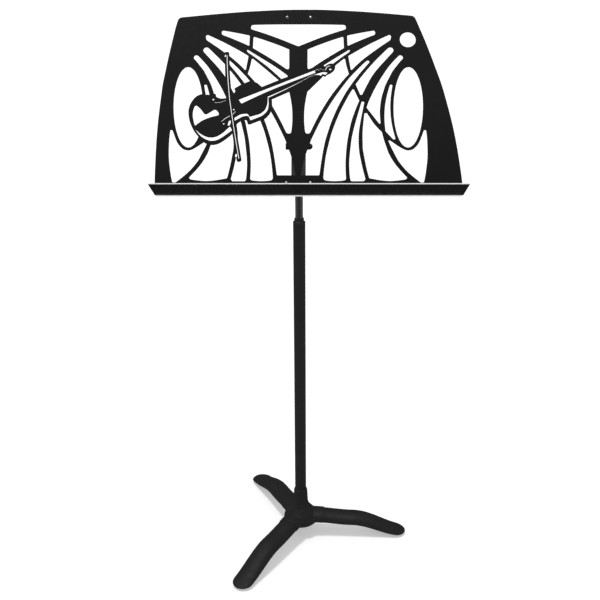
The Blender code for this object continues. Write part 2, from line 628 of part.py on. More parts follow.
def music_ledge(desk, holes):
    """Shelf square to the sheet, with a flange up the sheet's back and a riveted tab."""
    top = DESK_BOTTOM + LEDGE_UP - GAP
    shelf = flat_solid(
        "music_ledge",
        [rounded_rectangle(LEFT_END, RIGHT_END, LAYER_FRONT - LEDGE_SHEET, FRONT + LEDGE_DEPTH,
                           LEDGE_CORNER)],
        -LEDGE_SHEET / 2, LEDGE_SHEET / 2)
    turn = Matrix.Translation((0, top - LEDGE_SHEET / 2, 0)) @ Matrix.Rotation(math.pi / 2, 4, "X")
    shelf.data.transform(turn @ Matrix.Diagonal((1, 1, -1, 1)))
    shelf.data.flip_normals()
    half_tab = LEDGE_TAB_WIDTH / 2
    low = top - LEDGE_SHEET / 2
    flange_top = DESK_BOTTOM + LEDGE_FLANGE
    inset = LEDGE_CORNER
    outline = [
        (LEFT_END + inset, low), (RIGHT_END - inset, low),
        (RIGHT_END - inset, flange_top), (half_tab + 6 * MM, flange_top),
        (half_tab, DESK_BOTTOM + LEDGE_TAB_HEIGHT), (-half_tab, DESK_BOTTOM + LEDGE_TAB_HEIGHT),
        (-half_tab - 6 * MM, flange_top), (LEFT_END + inset, flange_top)]
    flange = flat_solid("ledge_flange", [outline], LAYER_FRONT - LEDGE_SHEET, LAYER_FRONT)
    join(shelf, as_cutter(flange, desk))
    cut(shelf, holes)
    return as_part(shelf, desk, POWDER_BLACK)


def rounded_rectangle(left, right, low, high, radius):
    """Outline of a rectangle with its two far corners rounded, in metres."""
    corners = [(left, low, 0), (right, low, 0), (right, high, radius), (left, high, radius)]
    drawn = [(x / MM, y / MM, r / MM) for x, y, r in corners]
    return [point * MM for point in rounded(drawn)]


def top_brace(desk, holes):
    """Flat bar that stiffens the band above the top window."""
    outline = [(x, y + UPPER_RIVET_Y) for x, y in (
        (-BRACE_LENGTH / 2, -BRACE_WIDTH / 2), (BRACE_LENGTH / 2, -BRACE_WIDTH / 2),
        (BRACE_LENGTH / 2, BRACE_WIDTH / 2), (-BRACE_LENGTH / 2, BRACE_WIDTH / 2))]
    brace = flat_solid("top_brace", [outline], LAYER_FRONT - BRACE_SHEET, LAYER_FRONT)
    cut(brace, holes)
    return as_part(brace, desk, POWDER_BLACK)


def hinge_bracket(desk, holes):
    """Foot plate and channel behind the pillar, with two ears for the pivot bolt."""
    foot_back = FOOT_FRONT - BRACKET_SHEET
    web_half = EAR_OUTER - 0.4 * MM
    web = [
        (-BRACKET_FOOT_HALF / MM, 0, 3), (BRACKET_FOOT_HALF / MM, 0, 3),
        (BRACKET_FOOT_HALF / MM, (BRACKET_FOOT_TOP - BRACKET_FOOT_BOTTOM) / MM, 5),
        (web_half / MM, (BRACKET_FOOT_TOP + 6 * MM - BRACKET_FOOT_BOTTOM) / MM, 3),
        (web_half / MM, (BRACKET_TOP - BRACKET_FOOT_BOTTOM) / MM, 2),
        (-web_half / MM, (BRACKET_TOP - BRACKET_FOOT_BOTTOM) / MM, 2),
        (-web_half / MM, (BRACKET_FOOT_TOP + 6 * MM - BRACKET_FOOT_BOTTOM) / MM, 3),
        (-BRACKET_FOOT_HALF / MM, (BRACKET_FOOT_TOP - BRACKET_FOOT_BOTTOM) / MM, 5)]
    foot_level = DESK_BOTTOM + BRACKET_FOOT_BOTTOM
    outline = [point * MM + Vector((0, foot_level)) for point in rounded(web)]
    bracket = flat_solid("hinge_bracket", [outline], foot_back, FOOT_FRONT)
    ear_top = DESK_BOTTOM + BRACKET_TOP - 1 * MM
    ear_low = DESK_BOTTOM + BRACKET_FOOT_TOP + 8 * MM
    buried = FOOT_FRONT - 0.5 * MM
    side = [
        (ear_low / MM, buried / MM, 0), (ear_low / MM, (foot_back - 1.5 * MM) / MM, 3),
        (-EAR_RADIUS / MM - 4, -EAR_RADIUS / MM, 40), (EAR_RADIUS / MM, -EAR_RADIUS / MM, 11),
        (EAR_RADIUS / MM + 3, 3, 9), (ear_top / MM, (foot_back - 2 * MM) / MM, 4),
        (ear_top / MM, buried / MM, 0)]
    ear_outline = [point * MM for point in rounded(side)]
    for name, low in (("left_ear", -EAR_OUTER), ("right_ear", EAR_OUTER - EAR_WALL)):
        ear = flat_solid(name, [ear_outline], low, low + EAR_WALL, across="side")
        join(bracket, as_cutter(ear, desk))
    bore = rod("pivot_bore", BOLT_RADIUS + GAP, (-2 * EAR_OUTER, 0, 0), (2 * EAR_OUTER, 0, 0),
               SMALL_SIDES)
    cut(bracket, as_cutter(bore, desk))
    cut(bracket, holes)
    return as_part(bracket, desk, POWDER_BLACK)


def rivet(name, desk, x, y, stack_back):
    """Domed rivet through the sheet and the pieces behind it, with a flat tail."""
    head, tail = FRONT + GAP, stack_back - GAP
    profile = [(0, head + RIVET_HEAD), (0.55 * RIVET_HEAD_RADIUS, head + 0.85 * RIVET_HEAD),
               (0.88 * RIVET_HEAD_RADIUS, head + 0.5 * RIVET_HEAD), (RIVET_HEAD_RADIUS, head),
               (RIVET_RADIUS, head), (RIVET_RADIUS, tail), (RIVET_TAIL_RADIUS, tail),
               (RIVET_TAIL_RADIUS, tail - RIVET_TAIL), (0, tail - RIVET_TAIL)]
    piece = turned(name, profile, bored=False, sides=SMALL_SIDES)
    piece.location = (x, y, 0)
    return as_part(piece, desk, BRIGHT_RIVET)


def rivets(desk):
    """Two rivets in the top band and two through the ledge tab and bracket foot."""
    lower_back = FOOT_FRONT - BRACKET_SHEET
    upper_back = LAYER_FRONT - BRACE_SHEET
    for side, x in (("left", -RIVET_SPREAD), ("right", RIVET_SPREAD)):
        rivet("rivet_top_" + side, desk, x, UPPER_RIVET_Y, upper_back)
        rivet("rivet_bottom_" + side, desk, x, LOWER_RIVET_Y, lower_back)


def cross_ring(name, parent, inner, outer, low, high, finish):
    """Flat ring about the pivot axis, between two places along X."""
    ring = turned(name, ring_profile(inner, outer, low, high), sides=24)
    ring.rotation_euler = (0, math.pi / 2, 0)
    return as_part(ring, parent, finish)


def pivot_hardware(desk):
    """Bolt, washers and lock nut that clamp the ears onto the tilt head."""
    hole = BOLT_RADIUS + GAP
    washer_in = EAR_OUTER + GAP
    washer_out = washer_in + WASHER
    spring_in = washer_out + GAP
    spring_out = spring_in + WASHER
    head_in = spring_out + GAP
    cross_ring("washer_left", desk, hole, WASHER_RADIUS, -washer_out, -washer_in, DARK_ZINC)
    cross_ring("washer_right", desk, hole, WASHER_RADIUS, washer_in, washer_out, DARK_ZINC)
    cross_ring("spring_washer", desk, hole, 0.85 * WASHER_RADIUS, -spring_out, -spring_in,
               DARK_ZINC)
    nut_in = washer_out + GAP
    nut_out = nut_in + NUT_HEX
    corner = BOLT_FLATS / 2 / math.cos(math.pi / 6)
    bolt = rod("tilt_bolt", corner, (-head_in - BOLT_HEAD, 0, 0), (-head_in, 0, 0), 6)
    shank = rod("bolt_shank", BOLT_RADIUS, (-head_in - 0.5 * BOLT_HEAD, 0, 0),
                (nut_out + NUT_COLLAR + BOLT_TAIL, 0, 0), SMALL_SIDES)
    join(bolt, as_cutter(shank, desk))
    as_part(bolt, desk, DARK_ZINC)
    nut = rod("lock_nut", corner, (nut_in, 0, 0), (nut_out, 0, 0), 6)
    collar = rod("nut_collar", 0.82 * BOLT_FLATS / 2, (nut_in + 0.5 * NUT_HEX, 0, 0),
                 (nut_out + NUT_COLLAR, 0, 0), SMALL_SIDES)
    bore = rod("nut_bore", hole, (0, 0, 0), (nut_out + 4 * NUT_COLLAR, 0, 0), SMALL_SIDES)
    join(nut, as_cutter(collar, desk))
    cut(nut, as_cutter(bore, desk))
    as_part(nut, desk, DARK_ZINC)


# ==== shaft ========================================================================
TONGUE_HALF = EAR_OUTER - EAR_WALL - FRICTION_DISC - 2 * GAP
SPIGOT_RADIUS = SHAFT_RADIUS - SHAFT_WALL - GAP
GUIDE_RADIUS = TUBE_RADIUS - TUBE_WALL - GAP


def pin_hole(slide):
    """Cutter for the cross pin through the shaft and the head's spigot."""
    height = SHAFT_TOP - HEAD_PIN_DROP
    reach = 2 * SHAFT_RADIUS
    hole = rod("head_pin_hole", HEAD_PIN_RADIUS + GAP, (0, -reach, height), (0, reach, height), 16)
    return as_cutter(hole, slide)


def inner_shaft(slide, hole):
    """Steel tube that slides in the clutch."""
    inner = SHAFT_RADIUS - SHAFT_WALL
    profile = ring_profile(inner, SHAFT_RADIUS, SHAFT_BOTTOM, SHAFT_TOP)
    shaft = turned("inner_shaft", profile)
    cut(shaft, hole)
    return as_part(shaft, slide, SHAFT_STEEL)


def tilt_head(slide, hole):
    """Tongue between the bracket's ears, on a spigot that fills the shaft's top."""
    neck = SHAFT_TOP + GAP
    collar = neck + 4 * MM
    spigot = turned(
        "head_spigot",
        [(0, collar), (SHAFT_RADIUS, collar), (SHAFT_RADIUS, neck), (SPIGOT_RADIUS, neck),
         (SPIGOT_RADIUS, SHAFT_TOP - SPIGOT_LENGTH), (0, SHAFT_TOP - SPIGOT_LENGTH)],
        bored=False, sides=24)
    drop = (neck + 1.2 * MM - PIVOT_HEIGHT) / MM
    half = (SHAFT_RADIUS - 0.3 * MM) / MM
    round_end = TONGUE_RADIUS / MM
    side = [(-half, drop, 0), (half, drop, 0), (half, -round_end, 6), (round_end, -4, 6),
            (round_end, round_end, round_end), (-round_end, round_end, round_end),
            (-round_end, -4, 6), (-half, -round_end, 6)]
    outline = [point * MM + Vector((0, PIVOT_HEIGHT)) for point in rounded(side)]
    head = flat_solid("tilt_head", [outline], -TONGUE_HALF, TONGUE_HALF, across="side")
    join(head, as_cutter(spigot, slide))
    bore = rod("tongue_bore", BOLT_RADIUS + GAP, (-2 * EAR_OUTER, 0, PIVOT_HEIGHT),
               (2 * EAR_OUTER, 0, PIVOT_HEIGHT), SMALL_SIDES)
    cut(head, as_cutter(bore, slide))
    cut(head, hole)
    return as_part(head, slide, CAST_BLACK)


def shaft_fittings(slide):
    """Cross pin, friction discs and the nylon guide at the shaft's lower end."""
    height = SHAFT_TOP - HEAD_PIN_DROP
    reach = SHAFT_RADIUS - 0.15 * MM
    pin = rod("head_pin", HEAD_PIN_RADIUS, (0, -reach, height), (0, reach, height), 16)
    as_part(pin, slide, DARK_ZINC)
    disc_in = TONGUE_HALF + GAP
    for side, low in (("left", -disc_in - FRICTION_DISC), ("right", disc_in)):
        ring = turned(
            "friction_disc_" + side,
            ring_profile(BOLT_RADIUS + GAP, FRICTION_DISC_RADIUS, low, low + FRICTION_DISC),
            sides=24)
        ring.rotation_euler = (0, math.pi / 2, 0)
        ring.location = (0, 0, PIVOT_HEIGHT)
        as_part(ring, slide, NYLON_BLACK)
    inside = SHAFT_RADIUS - SHAFT_WALL - GAP
    foot = SHAFT_BOTTOM - GAP
    profile = [(inside, foot + GUIDE_LENGTH), (inside, foot), (GUIDE_RADIUS, foot),
               (GUIDE_RADIUS, foot - 3 * GUIDE_LIP), (inside - GUIDE_LIP, foot - 3 * GUIDE_LIP),
               (inside - GUIDE_LIP, foot + GUIDE_LENGTH)]
    as_part(turned("shaft_guide", profile, sides=24), slide, NYLON_BLACK)


# ==== clutch =======================================================================
def clutch(turret):
    """Slotted sleeve that grips the shaft, and the garter ring that squeezes it."""
    high = TUBE_TOP - CAP_SKIRT - GAP
    low = high - CLUTCH_LENGTH
    inner = SHAFT_RADIUS + GAP
    groove_low = low + RING_UP
    groove_high = groove_low + RING_HEIGHT + 2 * GAP
    floor = GUIDE_RADIUS - GROOVE_DEPTH
    profile = [(GUIDE_RADIUS, high), (GUIDE_RADIUS, groove_high), (floor, groove_high),
               (floor, groove_low), (GUIDE_RADIUS, groove_low), (GUIDE_RADIUS, low),
               (inner, low), (inner, high)]
    sleeve = turned("clutch_sleeve", profile)
    reach = 2 * GUIDE_RADIUS
    for finger in range(CLUTCH_FINGERS // 2):
        slot = block("clutch_slot_%d" % finger, (-reach, -CLUTCH_SLOT / 2, low - 1 * MM),
                     (reach, CLUTCH_SLOT / 2, high - 0.25 * CLUTCH_LENGTH))
        slot.rotation_euler = (0, 0, math.radians(12) + finger * math.pi / 2)
        cut(sleeve, as_cutter(slot, turret))
    as_part(sleeve, turret, NYLON_BLACK)
    ring = turned("clutch_ring", ring_profile(floor + GAP, floor + GAP + RING_SECTION,
                                              groove_low + GAP, groove_low + GAP + RING_HEIGHT))
    as_part(ring, turret, DARK_ZINC)


# ==== tube and base ================================================================
def outer_tube(root):
    """Main tube, its cap, the plug in its foot and the bolt that holds it down."""
    inner = TUBE_RADIUS - TUBE_WALL
    tube = turned("outer_tube", ring_profile(inner, TUBE_RADIUS, TUBE_BOTTOM, TUBE_TOP))
    as_part(tube, root, POWDER_BLACK)
    seat = TUBE_TOP + GAP
    skirt = inner - GAP
    bore = SHAFT_RADIUS + GAP
    profile = [(bore + 0.8 * MM, CAP_TOP), (CAP_RADIUS - CAP_CHAMFER, CAP_TOP),
               (CAP_RADIUS, seat + CAP_EDGE), (CAP_RADIUS, seat), (skirt, seat),
               (skirt, TUBE_TOP - CAP_SKIRT), (bore, TUBE_TOP - CAP_SKIRT),
               (bore, CAP_TOP - 0.8 * MM)]
    as_part(turned("clutch_cap", profile), root, CAST_BLACK)
    plug_low = TUBE_BOTTOM + 0.2 * MM
    hole = POLE_BOLT_RADIUS + GAP
    as_part(turned("tube_plug", ring_profile(hole, skirt, plug_low, plug_low + PLUG_LENGTH)),
            root, DARK_ZINC)
    recess = HUB_RIM + POLE_BOLT_RECESS
    washer_high = recess - GAP
    washer_low = washer_high - POLE_WASHER
    as_part(turned("pole_washer", ring_profile(hole, POLE_WASHER_RADIUS, washer_low, washer_high)),
            root, DARK_ZINC)
    head_high = washer_low - GAP
    corner = POLE_BOLT_FLATS / 2 / math.cos(math.pi / 6)
    bolt = rod("pole_bolt", corner, (0, 0, head_high - POLE_BOLT_HEAD), (0, 0, head_high), 6)
    shank = rod("pole_bolt_shank", POLE_BOLT_RADIUS, (0, 0, head_high - 0.5 * POLE_BOLT_HEAD),
                (0, 0, plug_low + PLUG_LENGTH + 1 * MM), SMALL_SIDES)
    join(bolt, as_cutter(shank, root))
    as_part(bolt, root, DARK_ZINC)


def leg_centre(out):
    """Height of a leg's centre line at a distance from the tube's axis."""
    share = min(max((out - LEG_BEND_START) / (LEG_REACH - LEG_BEND_START), 0), 1)
    return LEG_TIP_HEIGHT + (LEG_HEIGHT - LEG_TIP_HEIGHT) * (1 + math.cos(math.pi * share)) / 2


def leg_half_height(out):
    """Half height of a leg's oval at a distance from the tube's axis."""
    share = min(max((out - LEG_BEND_START) / (LEG_REACH - LEG_BEND_START), 0), 1)
    return LEG_HALF_HEIGHT + (LEG_TIP_HALF_HEIGHT - LEG_HALF_HEIGHT) * share


def leg_ring(out, half_width, half_height, sides=LEG_SIDES):
    """One oval section of a leg, square to its centre line."""
    slope = (leg_centre(out + MM) - leg_centre(out - MM)) / (2 * MM)
    up = Vector((-slope, 0, 1)).normalized()
    centre = Vector((out, 0, leg_centre(out)))
    ring = []
    for step in range(sides):
        angle = 2 * math.pi * step / sides
        ring.append(centre + Vector((0, 1, 0)) * half_width * math.cos(angle)
                    + up * half_height * math.sin(angle))
    return ring


def leg_solid(name, start, end, grow=0.0, steps=LEG_STEPS, round_tip=False):
    """Leg-shaped loft along the leg, thicker all round by grow."""
    straight_end = LEG_REACH - LEG_HALF_WIDTH if round_tip else end
    rings = []
    for step in range(steps + 1):
        out = start + (straight_end - start) * step / steps
        rings.append(leg_ring(out, LEG_HALF_WIDTH + grow, leg_half_height(out) + grow))
    if round_tip:
        for degrees in (20, 40, 56, 70, 82):
            swing = math.radians(degrees)
            out = straight_end + LEG_HALF_WIDTH * math.sin(swing)
            rings.append(leg_ring(out, LEG_HALF_WIDTH * math.cos(swing),
                                  leg_half_height(out) * math.cos(swing) ** 0.55))
    return loft(name, rings)


def hub(root):
    """Cast hub: collar for the tube and three oval leg sockets, cut for all they hold."""
    bore = TUBE_RADIUS + GAP
    floor = TUBE_BOTTOM - GAP
    profile = [
        (0, HUB_COLLAR_TOP - 1 * MM), (HUB_COLLAR_RADIUS - 1 * MM, HUB_COLLAR_TOP),
        (HUB_COLLAR_RADIUS, HUB_COLLAR_TOP - 1 * MM),
        (HUB_COLLAR_FOOT_RADIUS, HUB_COLLAR_FOOT), (HUB_FLARE_RADIUS - 4 * MM, HUB_FLARE + 1.5 * MM),
        (HUB_FLARE_RADIUS, HUB_FLARE - 2 * MM), (HUB_RADIUS - 4 * MM, 0.5 * (HUB_FLARE + LEG_HEIGHT)),
        (HUB_RADIUS, LEG_HEIGHT + 4 * MM), (HUB_RADIUS, HUB_RIM), (0, HUB_RIM)]
    casting = turned("hub", profile, bored=False, sides=40)
    for name, degrees in LEG_ANGLES:
        socket = leg_solid("socket_" + name, 6 * MM, SOCKET_REACH, SOCKET_WALL, SOCKET_STEPS)
        socket.rotation_euler = (0, 0, math.radians(degrees))
        join(casting, as_cutter(socket, root))
    for name, degrees in LEG_ANGLES:
        room = leg_solid("leg_room_" + name, LEG_START - GAP, SOCKET_REACH + 8 * MM, GAP,
                         SOCKET_STEPS)
        room.rotation_euler = (0, 0, math.radians(degrees))
        cut(casting, as_cutter(room, root))
        hole = rod("hub_screw_hole_" + name, LEG_SCREW_RADIUS + GAP, (LEG_SCREW_OUT, 0, 0),
                   (LEG_SCREW_OUT, 0, LEG_HEIGHT), 16)
        hole.rotation_euler = (0, 0, math.radians(degrees))
        cut(casting, as_cutter(hole, root))
    for name, radius, low, high in (
            ("tube_bore", bore, floor, HUB_COLLAR_TOP + 5 * MM),
            ("pole_bolt_bore", POLE_BOLT_RADIUS + GAP, 0, TUBE_BOTTOM + 5 * MM),
            ("pole_bolt_recess", POLE_BOLT_RECESS_RADIUS, 0, HUB_RIM + POLE_BOLT_RECESS)):
        cut(casting, as_cutter(rod(name, radius, (0, 0, low), (0, 0, high)), root))
    return as_part(casting, root, CAST_BLACK)


def legs(root):
    """Three hollow legs with flat-bottomed tips, each with its pad and screw."""
    flat = PAD_THICKNESS + GAP
    for name, degrees in LEG_ANGLES:
        turn = math.radians(degrees)
        leg = leg_solid("leg_" + name, LEG_START, LEG_REACH, round_tip=True)
        hollow = leg_solid("leg_hollow_" + name, LEG_START - 5 * MM, LEG_HOLLOW_END, -LEG_WALL,
                           HOLLOW_STEPS)
        ground = block("leg_flat_" + name, (0.6 * LEG_REACH, -0.1, -0.1),
                       (1.2 * LEG_REACH, 0.1, flat))
        hole = rod("leg_screw_hole_" + name, LEG_SCREW_RADIUS + GAP, (LEG_SCREW_OUT, 0, 0),
                   (LEG_SCREW_OUT, 0, LEG_HEIGHT), 16)
        for cutter in (hollow, ground, hole):
            cutter.rotation_euler = (0, 0, turn)
            cut(leg, as_cutter(cutter, root))
        leg.rotation_euler = (0, 0, turn)
        as_part(leg, root, POWDER_BLACK)
        pad_out = LEG_REACH - PAD_INSET
        pad = turned("foot_pad_" + name,
                     [(0, PAD_THICKNESS), (PAD_RADIUS, PAD_THICKNESS),
                      (PAD_RADIUS, 0.3 * PAD_THICKNESS), (PAD_RADIUS - 0.8 * MM, 0), (0, 0)],
                     bored=False, sides=24)
        pad.location = (pad_out * math.cos(turn), pad_out * math.sin(turn), 0)
        as_part(pad, root, RUBBER_BLACK)
        head_top = LEG_HEIGHT - LEG_HALF_HEIGHT - SOCKET_WALL - GAP
        tip = LEG_HEIGHT - LEG_HALF_HEIGHT + LEG_WALL + 4 * MM
        profile = [(0, tip), (LEG_SCREW_RADIUS, tip), (LEG_SCREW_RADIUS, head_top),
                   (LEG_SCREW_HEAD_RADIUS, head_top),
                   (0.8 * LEG_SCREW_HEAD_RADIUS, head_top - LEG_SCREW_HEAD),
                   (0, head_top - LEG_SCREW_HEAD)]
        screw = turned("leg_screw_" + name, profile, bored=False, sides=16)
        screw.location = (LEG_SCREW_OUT * math.cos(turn), LEG_SCREW_OUT * math.sin(turn), 0)
        as_part(screw, root, DARK_ZINC)


def centre_on_floor(root):
    """Move the whole stand so that its box stands centred on the origin."""
    bpy.context.view_layer.update()
    depsgraph = bpy.context.evaluated_depsgraph_get()
    low, high = Vector((1e9,) * 3), Vector((-1e9,) * 3)
    for piece in PARTS.objects:
        if piece.type != "MESH":
            continue
        solid = piece.evaluated_get(depsgraph)
        for vertex in solid.data.vertices:
            place = solid.matrix_world @ vertex.co
            low = Vector(map(min, low, place))
            high = Vector(map(max, high, place))
    root.location -= Vector(((low.x + high.x) / 2, (low.y + high.y) / 2, low.z))


def build_stand():
    """Build every piece on the empties that carry the stand's motions."""
    root = axis_empty("stand_root")
    turret = axis_empty("swivel_axis", root, (0, 0, 0))
    slide = axis_empty("slide_axis", turret, (0, 0, 0))
    desk = axis_empty("tilt_axis", slide, (0, 0, PIVOT_HEIGHT), math.pi / 2 - DESK_LEAN)
    hub(root)
    legs(root)
    outer_tube(root)
    clutch(turret)
    hole = pin_hole(slide)
    inner_shaft(slide, hole)
    tilt_head(slide, hole)
    shaft_fittings(slide)
    holes = rivet_holes(desk)
    desk_panel(desk, holes)
    music_ledge(desk, holes)
    top_brace(desk, holes)
    hinge_bracket(desk, holes)
    rivets(desk)
    pivot_hardware(desk)
    centre_on_floor(root)


build_stand()
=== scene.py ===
"""Studio model of an orchestra music stand with a pierced sheet-metal desk.

Each sub-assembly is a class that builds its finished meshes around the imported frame:
the desk and its ledge, the hinge, the shaft and clutch, the tube, the hub and the legs.
Lengths are in metres, and MM turns a drawn millimetre into one.
"""
import json
import logging
import math
from dataclasses import dataclass, field, replace
from enum import Enum

import bmesh
import bpy
from mathutils import Matrix, Vector

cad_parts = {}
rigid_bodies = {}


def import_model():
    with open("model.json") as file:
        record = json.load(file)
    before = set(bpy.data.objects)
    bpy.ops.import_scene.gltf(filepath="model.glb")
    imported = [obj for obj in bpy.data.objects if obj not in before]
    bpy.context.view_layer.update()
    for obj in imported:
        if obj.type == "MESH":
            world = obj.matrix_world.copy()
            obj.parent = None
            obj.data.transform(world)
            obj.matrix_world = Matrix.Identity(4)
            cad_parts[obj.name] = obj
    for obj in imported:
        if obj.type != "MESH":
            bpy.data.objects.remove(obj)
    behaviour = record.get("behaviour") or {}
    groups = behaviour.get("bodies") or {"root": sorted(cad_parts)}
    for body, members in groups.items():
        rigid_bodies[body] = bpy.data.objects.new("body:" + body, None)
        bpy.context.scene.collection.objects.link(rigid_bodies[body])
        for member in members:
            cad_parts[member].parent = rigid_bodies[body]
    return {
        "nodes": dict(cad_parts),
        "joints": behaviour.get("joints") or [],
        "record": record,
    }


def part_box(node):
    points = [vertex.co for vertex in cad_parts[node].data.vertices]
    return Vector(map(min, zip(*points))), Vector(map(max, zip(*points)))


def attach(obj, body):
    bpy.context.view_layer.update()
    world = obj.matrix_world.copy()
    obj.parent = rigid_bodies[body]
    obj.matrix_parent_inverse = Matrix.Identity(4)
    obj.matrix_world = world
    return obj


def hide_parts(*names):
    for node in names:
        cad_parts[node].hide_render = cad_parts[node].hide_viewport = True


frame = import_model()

MM = 0.001
TUBE_COAT = 0.3 * MM
LOG = logging.getLogger("music_stand")

Outline = list[Vector]
Profile = list[tuple[float, float]]


# ---- finishes ---------------------------------------------------------------------
class Grain(Enum):
    """What the surface of a finish looks like from close by."""

    POWDER = "powder coat"
    CAST = "powder coat over a casting"
    DRAWN = "drawn along Z"
    BARE = "bare aluminium"
    PLATED = "black zinc"
    MOULDED = "moulded nylon"
    RUBBER = "moulded rubber"


@dataclass(frozen=True)
class GrainSpec:
    """Scales and depths of one kind of grain.

    Attributes:
        fine: fine bumps per metre.
        broad: broad unevenness per metre.
        depth: height of the fine bumps in metres.
        broad_depth: height of the broad unevenness in metres.
        stretch: how far the pattern is drawn out along Z.
        polish: how much the roughness varies either way.
    """

    fine: float
    broad: float
    depth: float
    broad_depth: float
    stretch: float
    polish: float


GRAINS = {
    Grain.POWDER: GrainSpec(1500.0, 130.0, 0.020 * MM, 0.02 * MM, 1.0, 0.06),
    Grain.CAST: GrainSpec(1100.0, 150.0, 0.035 * MM, 0.09 * MM, 1.0, 0.08),
    Grain.DRAWN: GrainSpec(2600.0, 240.0, 0.006 * MM, 0.01 * MM, 0.012, 0.07),
    Grain.BARE: GrainSpec(1800.0, 300.0, 0.008 * MM, 0.01 * MM, 1.0, 0.08),
    Grain.PLATED: GrainSpec(2000.0, 400.0, 0.006 * MM, 0.01 * MM, 1.0, 0.10),
    Grain.MOULDED: GrainSpec(1600.0, 200.0, 0.015 * MM, 0.01 * MM, 1.0, 0.05),
    Grain.RUBBER: GrainSpec(1200.0, 200.0, 0.030 * MM, 0.02 * MM, 1.0, 0.04),
}


@dataclass(frozen=True)
class Finish:
    """One surface finish of the stand.

    Attributes:
        slot: the record's material slot that it belongs to.
        colour: linear base colour.
        roughness: middle roughness.
        metallic: 1 for bare metal, 0 for paint and plastic.
        specular: specular level of the coat.
        grain: kind of surface grain.
        tone: how much lighter or darker the colour drifts across the surface.
    """

    slot: str
    colour: tuple[float, float, float]
    roughness: float
    metallic: float
    specular: float
    grain: Grain
    tone: float = 0.12

    def title(self) -> str:
        """Name the material after its slot and grain."""
        return "finish_%s_%s" % (self.slot, self.grain.name.lower())

    def material(self) -> bpy.types.Material:
        """Build the node material, or return it if it exists already.

        Returns:
            The material, named after its slot and grain.
        """
        known = bpy.data.materials.get(self.title())
        if known:
            return known
        material = bpy.data.materials.new(self.title())
        material.use_nodes = True
        tree = material.node_tree
        shader = tree.nodes["Principled BSDF"]
        shader.inputs["Metallic"].default_value = self.metallic
        shader.inputs["Specular IOR Level"].default_value = self.specular
        spec = GRAINS[self.grain]
        place = tree.nodes.new("ShaderNodeTexCoord")
        mapping = tree.nodes.new("ShaderNodeMapping")
        mapping.inputs["Scale"].default_value = (1.0, 1.0, spec.stretch)
        tree.links.new(place.outputs["Object"], mapping.inputs["Vector"])
        fine = self._noise(tree, mapping, spec.fine, 2.0)
        broad = self._noise(tree, mapping, spec.broad, 3.0)
        drift = self._noise(tree, mapping, 14.0, 2.0)
        darker = [value * (1 - self.tone) for value in self.colour]
        lighter = [value * (1 + self.tone) for value in self.colour]
        self._ramp(tree, drift, darker, lighter, shader.inputs["Base Color"])
        low, high = self.roughness - spec.polish, self.roughness + spec.polish
        self._ramp(tree, broad, [low] * 3, [high] * 3, shader.inputs["Roughness"])
        swell = self._bump(tree, broad, spec.broad_depth, None)
        pores = self._bump(tree, fine, spec.depth, swell)
        tree.links.new(pores.outputs["Normal"], shader.inputs["Normal"])
        return material

    @staticmethod
    def _noise(tree: bpy.types.NodeTree, mapping: bpy.types.Node, scale: float,
               detail: float) -> bpy.types.Node:
        """Add a noise texture that reads the mapped place."""
        noise = tree.nodes.new("ShaderNodeTexNoise")
        noise.inputs["Scale"].default_value = scale
        noise.inputs["Detail"].default_value = detail
        tree.links.new(mapping.outputs["Vector"], noise.inputs["Vector"])
        return noise

    @staticmethod
    def _ramp(tree: bpy.types.NodeTree, noise: bpy.types.Node, low: list[float],
              high: list[float], target: bpy.types.NodeSocket) -> None:
        """Send a noise to a socket through a ramp from one colour to another."""
        ramp = tree.nodes.new("ShaderNodeValToRGB")
        ramp.color_ramp.elements[0].position = 0.3
        ramp.color_ramp.elements[0].color = (*low, 1.0)
        ramp.color_ramp.elements[1].position = 0.7
        ramp.color_ramp.elements[1].color = (*high, 1.0)
        tree.links.new(noise.outputs["Fac"], ramp.inputs["Fac"])
        tree.links.new(ramp.outputs["Color"], target)

    @staticmethod
    def _bump(tree: bpy.types.NodeTree, noise: bpy.types.Node, depth: float,
              under: bpy.types.Node | None) -> bpy.types.Node:
        """Add a bump of a given depth, on top of another bump if there is one."""
        bump = tree.nodes.new("ShaderNodeBump")
        bump.inputs["Distance"].default_value = depth
        tree.links.new(noise.outputs["Fac"], bump.inputs["Height"])
        if under:
            tree.links.new(under.outputs["Normal"], bump.inputs["Normal"])
        return bump

    def dress(self, piece: bpy.types.Object) -> None:
        """Put this finish on a piece as its only material."""
        piece.data.materials.clear()
        piece.data.materials.append(self.material())


DESK_BLACK = Finish("desk_black", (0.0064, 0.0064, 0.0067), 0.60, 0.0, 0.30, Grain.POWDER)
# The ledge's black is darker than the desk's own: painted shade for the desk's shadow on it.
LEDGE_PAINTED_SHADE = Finish("desk_black", (0.0040, 0.0040, 0.0043), 0.62, 0.0, 0.26, Grain.CAST)
# The bracket is black powder coat; its grey is painted light on its faces.
BRACKET_PAINTED_LIGHT = Finish("powder_black", (0.048, 0.048, 0.049), 0.60, 0.0, 0.45, Grain.CAST)
